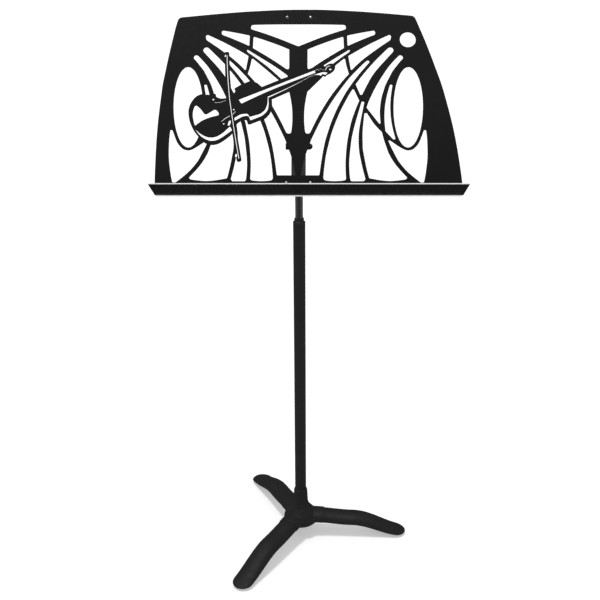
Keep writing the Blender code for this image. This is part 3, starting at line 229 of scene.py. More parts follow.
# White for the strips along the ledge's edges: a painted highlight, not a coat of the stand.
EDGE_PAINTED_HIGHLIGHT = Finish("edge_light", (0.95, 0.95, 0.95), 0.50, 0.0, 0.40, Grain.POWDER, 0.01)
POWDER_BLACK = Finish("powder_black", (0.0165, 0.0165, 0.0171), 0.60, 0.0, 0.28, Grain.POWDER)
CAST_BLACK = Finish("cast_black", (0.0180, 0.0180, 0.0186), 0.60, 0.0, 0.28, Grain.CAST)
SHAFT_STEEL = Finish("shaft_steel", (0.24, 0.24, 0.25), 0.26, 1.0, 0.5, Grain.DRAWN)
BRIGHT_RIVET = Finish("bright_rivet", (0.80, 0.80, 0.81), 0.34, 1.0, 0.5, Grain.BARE)
DARK_ZINC = Finish("dark_zinc", (0.085, 0.085, 0.09), 0.36, 1.0, 0.5, Grain.PLATED)
NYLON_BLACK = Finish("nylon_black", (0.014, 0.014, 0.014), 0.55, 0.0, 0.4, Grain.MOULDED)
RUBBER_BLACK = Finish("rubber_black", (0.010, 0.010, 0.010), 0.80, 0.0, 0.3, Grain.RUBBER)
FINISHES = {finish.slot: finish for finish in (
    DESK_BLACK, EDGE_PAINTED_HIGHLIGHT, POWDER_BLACK, CAST_BLACK, SHAFT_STEEL, BRIGHT_RIVET, DARK_ZINC,
    NYLON_BLACK, RUBBER_BLACK)}


# ---- places in the frame ----------------------------------------------------------
@dataclass(frozen=True)
class Axes:
    """Where the tube's axis and the tilting desk are in the frame.

    Attributes:
        foot: the tube's axis on the floor.
        pivot: the middle of the tilt axis.
        up_sheet: the direction up the desk's sheet at rest.
    """

    foot: Vector
    pivot: Vector
    up_sheet: Vector

    @staticmethod
    def from_frame() -> "Axes":
        """Read the joints, and which way the sheet faces.

        Returns:
            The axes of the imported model.
        """
        joints = {joint["name"]: joint for joint in frame["joints"]}
        sheet = max(frame["nodes"]["desk_panel"].data.polygons,
                    key=lambda face: face.area * (face.normal.y < 0))
        swivel = Vector(joints["swivel"]["pos_m"])
        return Axes(foot=Vector((swivel.x, swivel.y, 0.0)),
                    pivot=Vector(joints["desk_tilt"]["pos_m"]),
                    up_sheet=sheet.normal.cross(Vector((1.0, 0.0, 0.0))).normalized())

    def desk(self) -> Matrix:
        """Give the desk's own axes: X across, Y up the sheet, Z out of its face."""
        across = Vector((1.0, 0.0, 0.0))
        out = across.cross(self.up_sheet)
        turn = Matrix((across, self.up_sheet, out)).transposed().to_4x4()
        return Matrix.Translation(self.pivot) @ turn

    def column(self) -> Matrix:
        """Give the tube's axes, with Z up the tube from the floor."""
        return Matrix.Translation(self.foot)

    def cross_bolt(self) -> Matrix:
        """Give the pivot bolt's axes, with Z along the bolt to the player's right."""
        return Matrix.Translation(self.pivot) @ Matrix.Rotation(math.pi / 2, 4, "Y")

    def leg(self, degrees: float) -> Matrix:
        """Give a leg's axes, with X out along the leg."""
        return self.column() @ Matrix.Rotation(math.radians(degrees), 4, "Z")


AXES = Axes.from_frame()


# ---- modelling steps --------------------------------------------------------------
def pick_only(piece: bpy.types.Object) -> None:
    """Select one object, and nothing else, and make it active."""
    bpy.ops.object.select_all(action="DESELECT")
    piece.select_set(True)
    bpy.context.view_layer.objects.active = piece


def apply_modifiers(piece: bpy.types.Object) -> None:
    """Apply every modifier of a piece in its order."""
    pick_only(piece)
    for modifier in list(piece.modifiers):
        bpy.ops.object.modifier_apply(modifier=modifier.name)


def shade(piece: bpy.types.Object, angle: float = 42.0) -> None:
    """Shade a piece smooth, with sharp edges past an angle and flat faces kept flat.

    Args:
        piece: the object.
        angle: edges that turn more than this many degrees stay sharp.
    """
    pick_only(piece)
    bpy.ops.object.shade_smooth_by_angle(angle=math.radians(angle))
    weighted = piece.modifiers.new("weighted", "WEIGHTED_NORMAL")
    weighted.keep_sharp = True
    apply_modifiers(piece)


def skinned(name: str, rings: list[Outline], closed: bool = False) -> bpy.types.Object:
    """Extrude a circle from ring to ring, then cap its ends or join them.

    Args:
        name: the object's name.
        rings: equal rings of points, in the order they are skinned.
        closed: whether the last ring meets the first, as in a tube with a bore.

    Returns:
        The new object, with its faces pointing out.
    """
    count = len(rings[0])
    bpy.ops.object.select_all(action="DESELECT")
    bpy.ops.mesh.primitive_circle_add(vertices=count, radius=1.0)
    piece = bpy.context.object
    piece.name = name
    bpy.ops.object.mode_set(mode="EDIT")
    bpy.ops.mesh.select_all(action="SELECT")
    slots = {}
    for vertex in bmesh.from_edit_mesh(piece.data).verts:
        slots[tuple(vertex.co)] = vertex.index
    for step, ring in enumerate(rings):
        if step:
            bpy.ops.mesh.extrude_region_move()
        rim = bmesh.from_edit_mesh(piece.data)
        moved = {}
        for vertex in [vertex for vertex in rim.verts if vertex.select]:
            slot = slots[tuple(vertex.co)]
            vertex.co = ring[slot]
            moved[tuple(vertex.co)] = slot
        slots = moved
        bmesh.update_edit_mesh(piece.data)
    if closed:
        select_first(piece, count, also=True)
        bpy.ops.mesh.bridge_edge_loops()
    else:
        bpy.ops.mesh.edge_face_add()
        select_first(piece, count, also=False)
        bpy.ops.mesh.edge_face_add()
    bpy.ops.mesh.select_all(action="SELECT")
    bpy.ops.mesh.normals_make_consistent(inside=False)
    bpy.ops.object.mode_set(mode="OBJECT")
    return piece


def select_first(piece: bpy.types.Object, count: int, also: bool) -> None:
    """Select the first ring's edges in edit mode, with or without what is selected."""
    bpy.ops.mesh.select_mode(type="VERT")
    if not also:
        bpy.ops.mesh.select_all(action="DESELECT")
    body = bmesh.from_edit_mesh(piece.data)
    body.verts.ensure_lookup_table()
    for index in range(count):
        body.verts[index].select = True
    body.select_flush_mode()
    bmesh.update_edit_mesh(piece.data)


def circle(radius: float, height: float, sides: int) -> Outline:
    """Give the points of a level circle about Z."""
    steps = [2 * math.pi * step / sides for step in range(sides)]
    return [Vector((radius * math.cos(a), radius * math.sin(a), height)) for a in steps]


def turned(name: str, profile: Profile, bored: bool = False,
           sides: int = 96) -> bpy.types.Object:
    """Turn a profile of (radius, height) about Z.

    Args:
        name: the object's name.
        profile: points down the outside and, if bored, up the inside.
        bored: whether the profile closes on itself round a bore.
        sides: how many sides the turned piece has.

    Returns:
        The new object.
    """
    return skinned(name, [circle(max(r, 0.02 * MM), z, sides) for r, z in profile], bored)


def ring_profile(inner: float, outer: float, low: float, high: float,
                 edge: float) -> Profile:
    """Give the profile of a plain ring whose four edges are eased."""
    return [(outer - edge, high), (outer, high - edge), (outer, low + edge),
            (outer - edge, low), (inner + edge, low), (inner, low + edge),
            (inner, high - edge), (inner + edge, high)]


def eased(profile: Profile, radius: float, steps: int = 3) -> Profile:
    """Round every corner of a turned profile that turns enough to see.

    Args:
        profile: the corners of an open profile.
        radius: the largest fillet radius.
        steps: how many chords each fillet has.

    Returns:
        The profile with its corners rounded.
    """
    corners = [Vector(point) for point in profile]
    points = [tuple(corners[0])]
    for before, here, after in zip(corners, corners[1:], corners[2:]):
        points.extend(tuple(p) for p in fillet(before, here, after, radius, steps))
    points.append(tuple(corners[-1]))
    return points


def fillet(before: Vector, here: Vector, after: Vector, radius: float,
           steps: int) -> Outline:
    """Round one corner of a path with an arc that takes at most half of either side."""
    back, ahead = before - here, after - here
    if min(back.length, ahead.length) < 1e-7:
        return [here]
    turn = math.pi - back.angle(ahead)
    if turn < math.radians(0.6):
        return [here]
    reach = min(radius * math.tan(turn / 2), 0.499 * back.length, 0.499 * ahead.length)
    start, end = here + back.normalized() * reach, here + ahead.normalized() * reach
    points = []
    for step in range(steps + 1):
        share = step / steps
        points.append(start * (1 - share) ** 2 + here * 2 * share * (1 - share)
                      + end * share ** 2)
    return points


def boolean(piece: bpy.types.Object, tool: bpy.types.Object, how: str) -> None:
    """Combine a piece with a tool object and remove the tool.

    Args:
        piece: the object that is kept.
        tool: the object that is used up.
        how: UNION, DIFFERENCE or INTERSECT.
    """
    step = piece.modifiers.new("combine", "BOOLEAN")
    step.operation = how
    step.solver = "EXACT"
    step.object = tool
    apply_modifiers(piece)
    bpy.data.objects.remove(tool, do_unlink=True)


def settle(piece: bpy.types.Object, place: Matrix) -> bpy.types.Object:
    """Take a piece's mesh to its place and leave its object at the origin."""
    piece.data.transform(place @ piece.matrix_basis)
    piece.matrix_basis = Matrix.Identity(4)
    piece.data.update()
    return piece


def cad_copy(node: str) -> bpy.types.Object:
    """Copy a CAD node's mesh, merge its loose triangles and clear its flat faces.

    Args:
        node: the CAD node's name.

    Returns:
        The copy, named after the node.
    """
    mesh = frame["nodes"][node].data.copy()
    piece = bpy.data.objects.new(node + "_finished", mesh)
    bpy.context.scene.collection.objects.link(piece)
    pick_only(piece)
    bpy.ops.object.mode_set(mode="EDIT")
    bpy.ops.mesh.select_all(action="SELECT")
    bpy.ops.mesh.remove_doubles(threshold=0.002 * MM)
    bpy.ops.mesh.customdata_custom_splitnormals_clear()
    bpy.ops.mesh.dissolve_limited(angle_limit=math.radians(0.6))
    bpy.ops.object.mode_set(mode="OBJECT")
    return piece


def bevelled(piece: bpy.types.Object, width: float, segments: int = 3,
             angle: float = 35.0) -> bpy.types.Object:
    """Ease a piece's sharp edges with a bevel and shade it.

    Args:
        piece: the object.
        width: width of the bevel.
        segments: how many strips it has.
        angle: only edges that turn more than this many degrees are eased.

    Returns:
        The same object.
    """
    ease = piece.modifiers.new("ease", "BEVEL")
    ease.width = width
    ease.segments = segments
    ease.limit_method = "ANGLE"
    ease.angle_limit = math.radians(angle)
    apply_modifiers(piece)
    shade(piece, 50.0)
    return piece


def deliver(piece: bpy.types.Object, finish: Finish, body: str, *nodes: str) -> None:
    """Dress a finished piece and hand it to the frame.

    Args:
        piece: the object, in its place.
        finish: its surface finish.
        body: the CAD body that it rides on.
        nodes: the CAD nodes that it stands for.
    """
    finish.dress(piece)
    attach(piece, body)
    if nodes:
        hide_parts(*nodes)
    LOG.info("%s: %d faces on %s", piece.name, len(piece.data.polygons), body)


# ---- desk -------------------------------------------------------------------------
@dataclass
class PiercedPanel:
    """The desk's sheet, cut by laser and powder coated, with softly rounded edges.

    Attributes:
        edge: radius of the coat over each cut edge.
        corner: radius that the beam leaves in a sharp corner.
        sharp: a drawn corner that turns more than this many degrees stays a corner.
    """

    edge: float = 0.28 * MM
    corner: float = 0.45 * MM
    sharp: float = 40.0
    place: Matrix = field(default_factory=AXES.desk)

    def front_loops(self) -> tuple[list[Outline], float, float]:
        """Read the outline of every window and of the sheet itself from the CAD node.

        Returns:
            The closed outlines on the sheet, and the levels of its back and front.
        """
        body = bmesh.new()
        body.from_mesh(frame["nodes"]["desk_panel"].data)
        body.transform(self.place.inverted())
        bmesh.ops.remove_doubles(body, verts=body.verts, dist=0.004 * MM)
        back = min(vertex.co.z for vertex in body.verts)
        front = max(vertex.co.z for vertex in body.verts)
        level = [face for face in body.faces
                 if all(front - vertex.co.z < 0.05 * MM for vertex in face.verts)]
        on_front = set(level)
        following = {}
        for face in level:
            for loop in face.loops:
                if loop.link_loop_radial_next.face not in on_front:
                    following[loop.vert] = loop.link_loop_next.vert
        outlines = []
        while following:
            start, here = next(iter(following.items()))
            outline = [start.co.xy.copy()]
            del following[start]
            while here is not start:
                outline.append(here.co.xy.copy())
                here = following.pop(here)
            outlines.append(outline)
        body.free()
        return outlines, back, front

    def softened(self, outline: Outline) -> Outline:
        """Run a drawn outline through arcs, so that its chords no longer show.

        Args:
            outline: the corners of a closed outline.

        Returns:
            A smooth outline that keeps its real corners, with the beam's small radius.
        """
        points = []
        count = len(outline)
        for index, here in enumerate(outline):
            before, after = outline[index - 1], outline[(index + 1) % count]
            turn = math.degrees(math.pi - (before - here).angle(after - here))
            radius = self.corner if turn > self.sharp else 1.0
            points.extend(fillet(before, here, after, radius, max(2, round(turn / 6))))
        kept = []
        for point in points:
            if not kept or (point - kept[-1]).length > 0.01 * MM:
                kept.append(point)
        return kept

    def build(self) -> None:
        """Make the sheet from its outlines."""
        outlines, back, front = self.front_loops()
        drawing = bpy.data.curves.new("desk_panel_drawing", "CURVE")
        drawing.dimensions = "2D"
        drawing.fill_mode = "BOTH"
        drawing.bevel_depth = self.edge
        drawing.bevel_resolution = 2
        drawing.offset = -self.edge
        drawing.extrude = (front - back) / 2 - self.edge
        for outline in outlines:
            smooth = self.softened(outline)
            spline = drawing.splines.new("POLY")
            spline.points.add(len(smooth) - 1)
            for slot, point in zip(spline.points, smooth):
                slot.co = (point.x, point.y, 0.0, 1.0)
            spline.use_cyclic_u = True
        drawn = bpy.data.objects.new("pierced_panel", drawing)
        bpy.context.scene.collection.objects.link(drawn)
        pick_only(drawn)
        bpy.ops.object.convert(target="MESH")
        panel = bpy.context.object
        bpy.ops.object.mode_set(mode="EDIT")
        bpy.ops.mesh.select_all(action="SELECT")
        bpy.ops.mesh.remove_doubles(threshold=0.002 * MM)
        bpy.ops.object.mode_set(mode="OBJECT")
        settle(panel, self.place @ Matrix.Translation((0, 0, (back + front) / 2)))
        shade(panel, 50.0)
        deliver(panel, DESK_BLACK, "desk", "desk_panel")


@dataclass
class Ledge:
    """The shelf for the music, its riveted tab, and white lines along its edges that paint
    highlights on them.

    Attributes:
        edge: radius of the coat over the shelf's edges.
        strip: thickness of the white strips that paint the edge highlights.
        side_gap: how far the strips stop short of the rounded corners.
        above: how far the front strip stands above the shelf's edge.
        below: how far the rear strip hangs below the flange.
    """

    edge: float = 0.45 * MM
    strip: float = 0.5 * MM
    side_gap: float = 2.0 * MM
    above: float = 0.35 * MM
    below: float = 2.2 * MM
    place: Matrix = field(default_factory=AXES.desk)

    def build(self) -> None:
        """Make the shelf and the white strips that paint highlights along its front and rear
        edges.
        """
        # The ledge's darker black is painted shade where the desk above would shade it.
        deliver(bevelled(cad_copy("music_ledge"), self.edge), LEDGE_PAINTED_SHADE, "desk",
                "music_ledge")
        corners = [self.place.inverted() @ vertex.co
                   for vertex in frame["nodes"]["music_ledge"].data.vertices]
        out = max(corner.z for corner in corners)
        back = min(corner.z for corner in corners)
        low = min(corner.y for corner in corners)
        left = min(corner.x for corner in corners) + self.side_gap
        right = max(corner.x for corner in corners) - self.side_gap
        shelf = [corner.y for corner in corners if corner.z > out - 1 * MM]
        # Both strips are painted highlights: white lines along the ledge's front and rear
        # edges.
        self.painted_highlight_strip("ledge_front_edge", left, right,
                         (min(shelf), max(shelf) + self.above), out)
        self.painted_highlight_strip("ledge_rear_edge", left, right, (low - self.below, low),
                         back + self.strip)

    def painted_highlight_strip(self, name: str, left: float, right: float,
                    levels: tuple[float, float], out: float) -> None:
        """Lay one thin white strip along the ledge, a painted highlight on its edge.

        Args:
            name: the strip's name.
            left: its left end on the desk.
            right: its right end on the desk.
            levels: its lower and upper edge, up the sheet.
            out: how far out of the sheet its back lies.
        """
        low, high = levels
        bpy.ops.object.select_all(action="DESELECT")
        bpy.ops.mesh.primitive_cube_add(size=1.0)
        strip = bpy.context.object
        strip.name = name
        strip.scale = (right - left, high - low, self.strip)
        strip.location = ((left + right) / 2, (low + high) / 2, out + self.strip / 2)
        settle(strip, self.place)
        deliver(bevelled(strip, 0.18 * MM), EDGE_PAINTED_HIGHLIGHT, "desk")


@dataclass
class Rivets:
    """Four domed rivets through the sheet."""

    radius: float = 2.7 * MM
    height: float = 1.35 * MM
    sides: int = 48
    place: Matrix = field(default_factory=AXES.desk)

    def build(self) -> None:
        """Make each rivet over its CAD node."""
        for node in ("rivet_top_left", "rivet_top_right", "rivet_bottom_left",
                     "rivet_bottom_right"):
            corners = [self.place.inverted() @ vertex.co
                       for vertex in frame["nodes"][node].data.vertices]
            low = Vector(min(corner[i] for corner in corners) for i in range(3))
            high = Vector(max(corner[i] for corner in corners) for i in range(3))
            centre = (low + high) / 2
            head = high.z - self.height
            shank = 0.6 * self.radius
            profile = []
            for step in range(9):
                swing = math.pi / 2 * (1 - step / 8)
                profile.append((self.radius * math.cos(swing) + 0.02 * MM,
                                head + self.height * math.sin(swing) ** 1.2))
            profile += [(shank, head), (shank, low.z + 1.0 * MM),
                        (0.88 * self.radius, low.z + 1.0 * MM),
                        (0.9 * self.radius, low.z + 0.3 * MM), (0.75 * self.radius, low.z)]
            rivet = turned(node + "_domed", profile, sides=self.sides)
            settle(rivet, self.place @ Matrix.Translation((centre.x, centre.y, 0)))
            shade(rivet)
            deliver(rivet, BRIGHT_RIVET, "desk", node)


# ---- hinge ------------------------------------------------------------------------
@dataclass
class Hinge:
    """The bracket behind the desk and the bolt, washers and nut through its ears.

    Attributes:
        coat: edge radius of the pressed bracket and the top brace.
        sides: sides of the turned washers.
    """

    coat: float = 0.4 * MM
    sides: int = 64
    place: Matrix = field(default_factory=AXES.cross_bolt)

    def build(self) -> None:
        """Make the bracket, the brace and the fasteners."""
        # The bracket's grey is painted light on a black powder-coated part.
        deliver(bevelled(cad_copy("hinge_bracket"), self.coat, angle=40), BRACKET_PAINTED_LIGHT,
                "desk", "hinge_bracket")
        deliver(bevelled(cad_copy("top_brace"), self.coat), DESK_BLACK, "desk", "top_brace")
        for node in ("washer_left", "washer_right"):
            self.washer(node)
        self.spring_washer()
        self.bolt()
        self.nut()

    def span(self, node: str) -> tuple[float, float, float]:
        """Give a node's ends along the bolt and its radius."""
        low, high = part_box(node)
        return low.x - AXES.pivot.x, high.x - AXES.pivot.x, (high.z - low.z) / 2

    def washer(self, node: str) -> None:
        """Make a flat washer with eased edges."""
        low, high, radius = self.span(node)
        piece = turned(node + "_eased", ring_profile(3.3 * MM, radius, low, high, 0.25 * MM),
                       bored=True, sides=self.sides)
        settle(piece, self.place)
        shade(piece)
        deliver(piece, DARK_ZINC, "desk", node)

    def spring_washer(self) -> None:
        """Make the split spring washer: a ring with a slanted cut."""
        low, high, radius = self.span("spring_washer")
        piece = turned("spring_washer_split",
                       ring_profile(3.3 * MM, radius, low, high, 0.2 * MM),
                       bored=True, sides=self.sides)
        bpy.ops.object.select_all(action="DESELECT")
        bpy.ops.mesh.primitive_cube_add(size=1.0, location=(radius, 0, (low + high) / 2))
        cutter = bpy.context.object
        cutter.scale = (2 * radius, 0.7 * MM, 4 * (high - low))
        cutter.rotation_euler = (math.radians(28), 0, 0)
        boolean(piece, cutter, "DIFFERENCE")
        settle(piece, self.place)
        shade(piece)
        deliver(piece, DARK_ZINC, "desk", "spring_washer")

    def hexagon(self, name: str, across: float, low: float, high: float,
                crowned_low: bool) -> bpy.types.Object:
        """Make a hexagon whose outer corners are turned off, as on a real head.

        Args:
            name: the object's name.
            across: width across its flats.
            low: its lower end along the bolt.
            high: its upper end along the bolt.
            crowned_low: whether the turned end is the lower one.

        Returns:
            The hexagon about Z.
        """
        corner = across / 2 / math.cos(math.pi / 6)
        bpy.ops.object.select_all(action="DESELECT")
        bpy.ops.mesh.primitive_cylinder_add(vertices=6, radius=corner, depth=high - low,
                                            location=(0, 0, (low + high) / 2))
        piece = bpy.context.object
        piece.name = name
        settle(piece, Matrix.Identity(4))
        rise = (corner - across / 2) * 1.1
        cone = [(across / 2 * 0.96, high + 0.001 * MM), (corner * 1.04, high - rise),
                (corner * 1.04, low - 1 * MM)]
        if crowned_low:
            cone = [(radius, low + high - height) for radius, height in reversed(cone)]
        boolean(piece, turned(name + "_lathe", cone, sides=self.sides), "INTERSECT")
        return piece

    def bolt(self) -> None:
        """Make the pivot bolt: a chamfered head and a shank with a chamfered tip."""
        low, high, _ = self.span("tilt_bolt")
        head_end = low + 5.6 * MM
        head = self.hexagon("tilt_bolt_chamfered", 10.0 * MM, low, head_end, True)
        shank = turned("shank", [(2.2 * MM, high), (3.0 * MM, high - 0.8 * MM),
                                 (3.0 * MM, head_end - 2 * MM)], sides=self.sides)
        boolean(head, shank, "UNION")
        settle(head, self.place)
        shade(head, 30)
        deliver(head, DARK_ZINC, "desk", "tilt_bolt")

    def nut(self) -> None:
        """Make the lock nut: a chamfered hexagon with its round collar."""
        low, high, _ = self.span("lock_nut")
        hex_end = high - 2.0 * MM
        nut = self.hexagon("lock_nut_chamfered", 10.0 * MM, low, hex_end, False)
        collar = turned("collar", eased([(3.2 * MM, high), (4.1 * MM, high),
                                         (4.1 * MM, hex_end - 2 * MM)], 0.8 * MM),
                        sides=self.sides)
        boolean(nut, collar, "UNION")
        bore = turned("bore", [(3.3 * MM, high + 1 * MM), (3.3 * MM, low - 1 * MM)],
                      sides=self.sides)
        boolean(nut, bore, "DIFFERENCE")
        settle(nut, self.place)
        shade(nut, 30)
        deliver(nut, DARK_ZINC, "desk", "lock_nut")


# ---- shaft, clutch and tube -------------------------------------------------------
@dataclass
class Column:
    """The sliding shaft with its tilt head, and the tube with its clutch cap.

    Attributes:
        shaft_wall: thickness of the shaft's wall.
        tube_wall: thickness of the tube's wall.
        coat: thickness of the tube's powder coat.
        gap: room round the shaft, and between the cap and the tube.
        skirt_step: how much smaller than the tube the cap's skirt is in radius.
        collar: radius of the cap's neck.
        neck: height of the cap's neck.
        flare: height over which the neck widens to the cap's full width.
    """

    shaft_wall: float = 1.2 * MM
    tube_wall: float = 1.5 * MM
    coat: float = TUBE_COAT
    gap: float = 0.3 * MM
    skirt_step: float = 1.8 * MM
    collar: float = 8.4 * MM
    neck: float = 4.2 * MM
    flare: float = 4.0 * MM
    place: Matrix = field(default_factory=AXES.column)

    def span(self, node: str) -> tuple[float, float, float]:
        """Give a node's lower end, upper end and radius."""
        low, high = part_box(node)
        return low.z, high.z, (high.x - low.x) / 2

    def build(self) -> None:
        """Make the shaft, the head, the tube and its cap."""
        low, high, radius = self.span("inner_shaft")
        shaft = turned("shaft_drawn", ring_profile(radius - self.shaft_wall, radius, low,
                                                   high, 0.25 * MM), bored=True)
        settle(shaft, self.place)
        shade(shaft)
        deliver(shaft, SHAFT_STEEL, "shaft", "inner_shaft")
        deliver(bevelled(cad_copy("tilt_head"), 0.5 * MM, angle=40), CAST_BLACK, "shaft",
                "tilt_head")
        low, high, radius = self.span("outer_tube")
        tube = turned("tube_coated", ring_profile(radius - self.tube_wall,
                                                  radius + self.coat, low, high, 0.3 * MM),
                      bored=True)
        settle(tube, self.place)
        shade(tube)
        deliver(tube, POWDER_BLACK, "base", "outer_tube")
        self.cap()

    def cap(self) -> None:
        """Make the cap: a neck that flares to the tube's width, and a skirt inside it."""
        low, high, radius = self.span("clutch_cap")
        _, seat, tube_radius = self.span("outer_tube")
        bore = self.span("inner_shaft")[2] + self.gap
        rim = seat + self.gap
        foot = high - self.neck
        corners = [(bore + 0.5 * MM, high), (self.collar, high), (self.collar, foot),
                   (radius, max(foot - self.flare, rim + 1.0 * MM)), (radius, rim)]
        skirt = tube_radius - self.skirt_step
        profile = eased(corners, 0.3 * MM) + [(skirt, rim), (skirt, low), (bore, low),
                                              (bore, high - 0.5 * MM)]
        cap = turned("clutch_cap_turned", profile, bored=True)
        settle(cap, self.place)
        shade(cap)
        deliver(cap, CAST_BLACK, "base", "clutch_cap")


# ---- base -------------------------------------------------------------------------
@dataclass
class LegShape:
    """The sweep of one leg: level in its socket, then down in an S to its tip.

    Attributes:
        reach: how far the tip is from the tube's axis.
        start: where the leg begins inside the hub.
        half_width: half its width.
        half_height: half its height in the socket.
        tip_half_height: half its height at the tip.
        height: height of its centre line in the socket.
        tip_height: height of its centre line at the tip.
        bend: where it begins to fall in its S.
        rise: how much higher it starts in the hub, so that it slopes from the socket on.
        taper: how late it grows thinner, as a power of its fall.
        sides: sides of its oval section.
    """

    reach: float = 212.0 * MM
    start: float = 24.0 * MM
    half_width: float = 19.8 * MM
    half_height: float = 12.1 * MM
    tip_half_height: float = 2.6 * MM
    height: float = 32.5 * MM
    tip_height: float = 5.9 * MM
    bend: float = 102.0 * MM
    rise: float = 5.0 * MM
    taper: float = 2.2
    sides: int = 72

    def share(self, out: float) -> float:
        """Give how far along its fall a place on the leg is, from 0 to 1."""
        return min(max((out - self.bend) / (self.reach - self.bend), 0.0), 1.0)

    def centre(self, out: float) -> float:
        """Give the height of the centre line."""
        fall = (1 + math.cos(math.pi * self.share(out))) / 2
        return self.tip_height + (self.height - self.tip_height) * fall + self.lift(out)

    def lift(self, out: float) -> float:
        """Give how much the leg's start in the hub is raised at a place."""
        share = min(max((out - self.start) / (self.bend - self.start), 0.0), 1.0)
        return self.rise * (1 + math.cos(math.pi * share)) / 2

    def thickness(self, out: float) -> float:
        """Give half the leg's height."""
        thinner = self.share(out) ** self.taper
        return self.half_height + (self.tip_half_height - self.half_height) * thinner

    def ring(self, out: float, half_width: float, half_height: float) -> Outline:
        """Give one oval section, square to the centre line."""
        slope = (self.centre(out + MM) - self.centre(out - MM)) / (2 * MM)
        up = Vector((-slope, 0, 1)).normalized()
        middle = Vector((out, 0, self.centre(out)))
        points = []
        for step in range(self.sides):
            angle = 2 * math.pi * step / self.sides
            across = Vector((0, 1, 0)) * half_width * math.cos(angle)
            points.append(middle + across + up * half_height * math.sin(angle))
        return points

    def rings(self, start: float, end: float, steps: int, grow: float = 0.0) -> list[Outline]:
        """Give the sections between two places, thicker all round by grow."""
        outs = [start + (end - start) * step / steps for step in range(steps + 1)]
        return [self.ring(out, self.half_width + grow, self.thickness(out) + grow)
                for out in outs]

    def tip_rings(self, steps: int = 14) -> list[Outline]:
        """Give the sections that close the tip in a soft round end."""
        straight_end = self.reach - self.half_width
        sections = []
        for step in range(1, steps + 1):
            swing = math.radians(88) * math.sin(math.pi / 2 * step / steps)
            out = straight_end + self.half_width * math.sin(swing)
            sections.append(self.ring(out, self.half_width * math.cos(swing),
                                      self.thickness(out) * math.cos(swing) ** 0.55))
        return sections


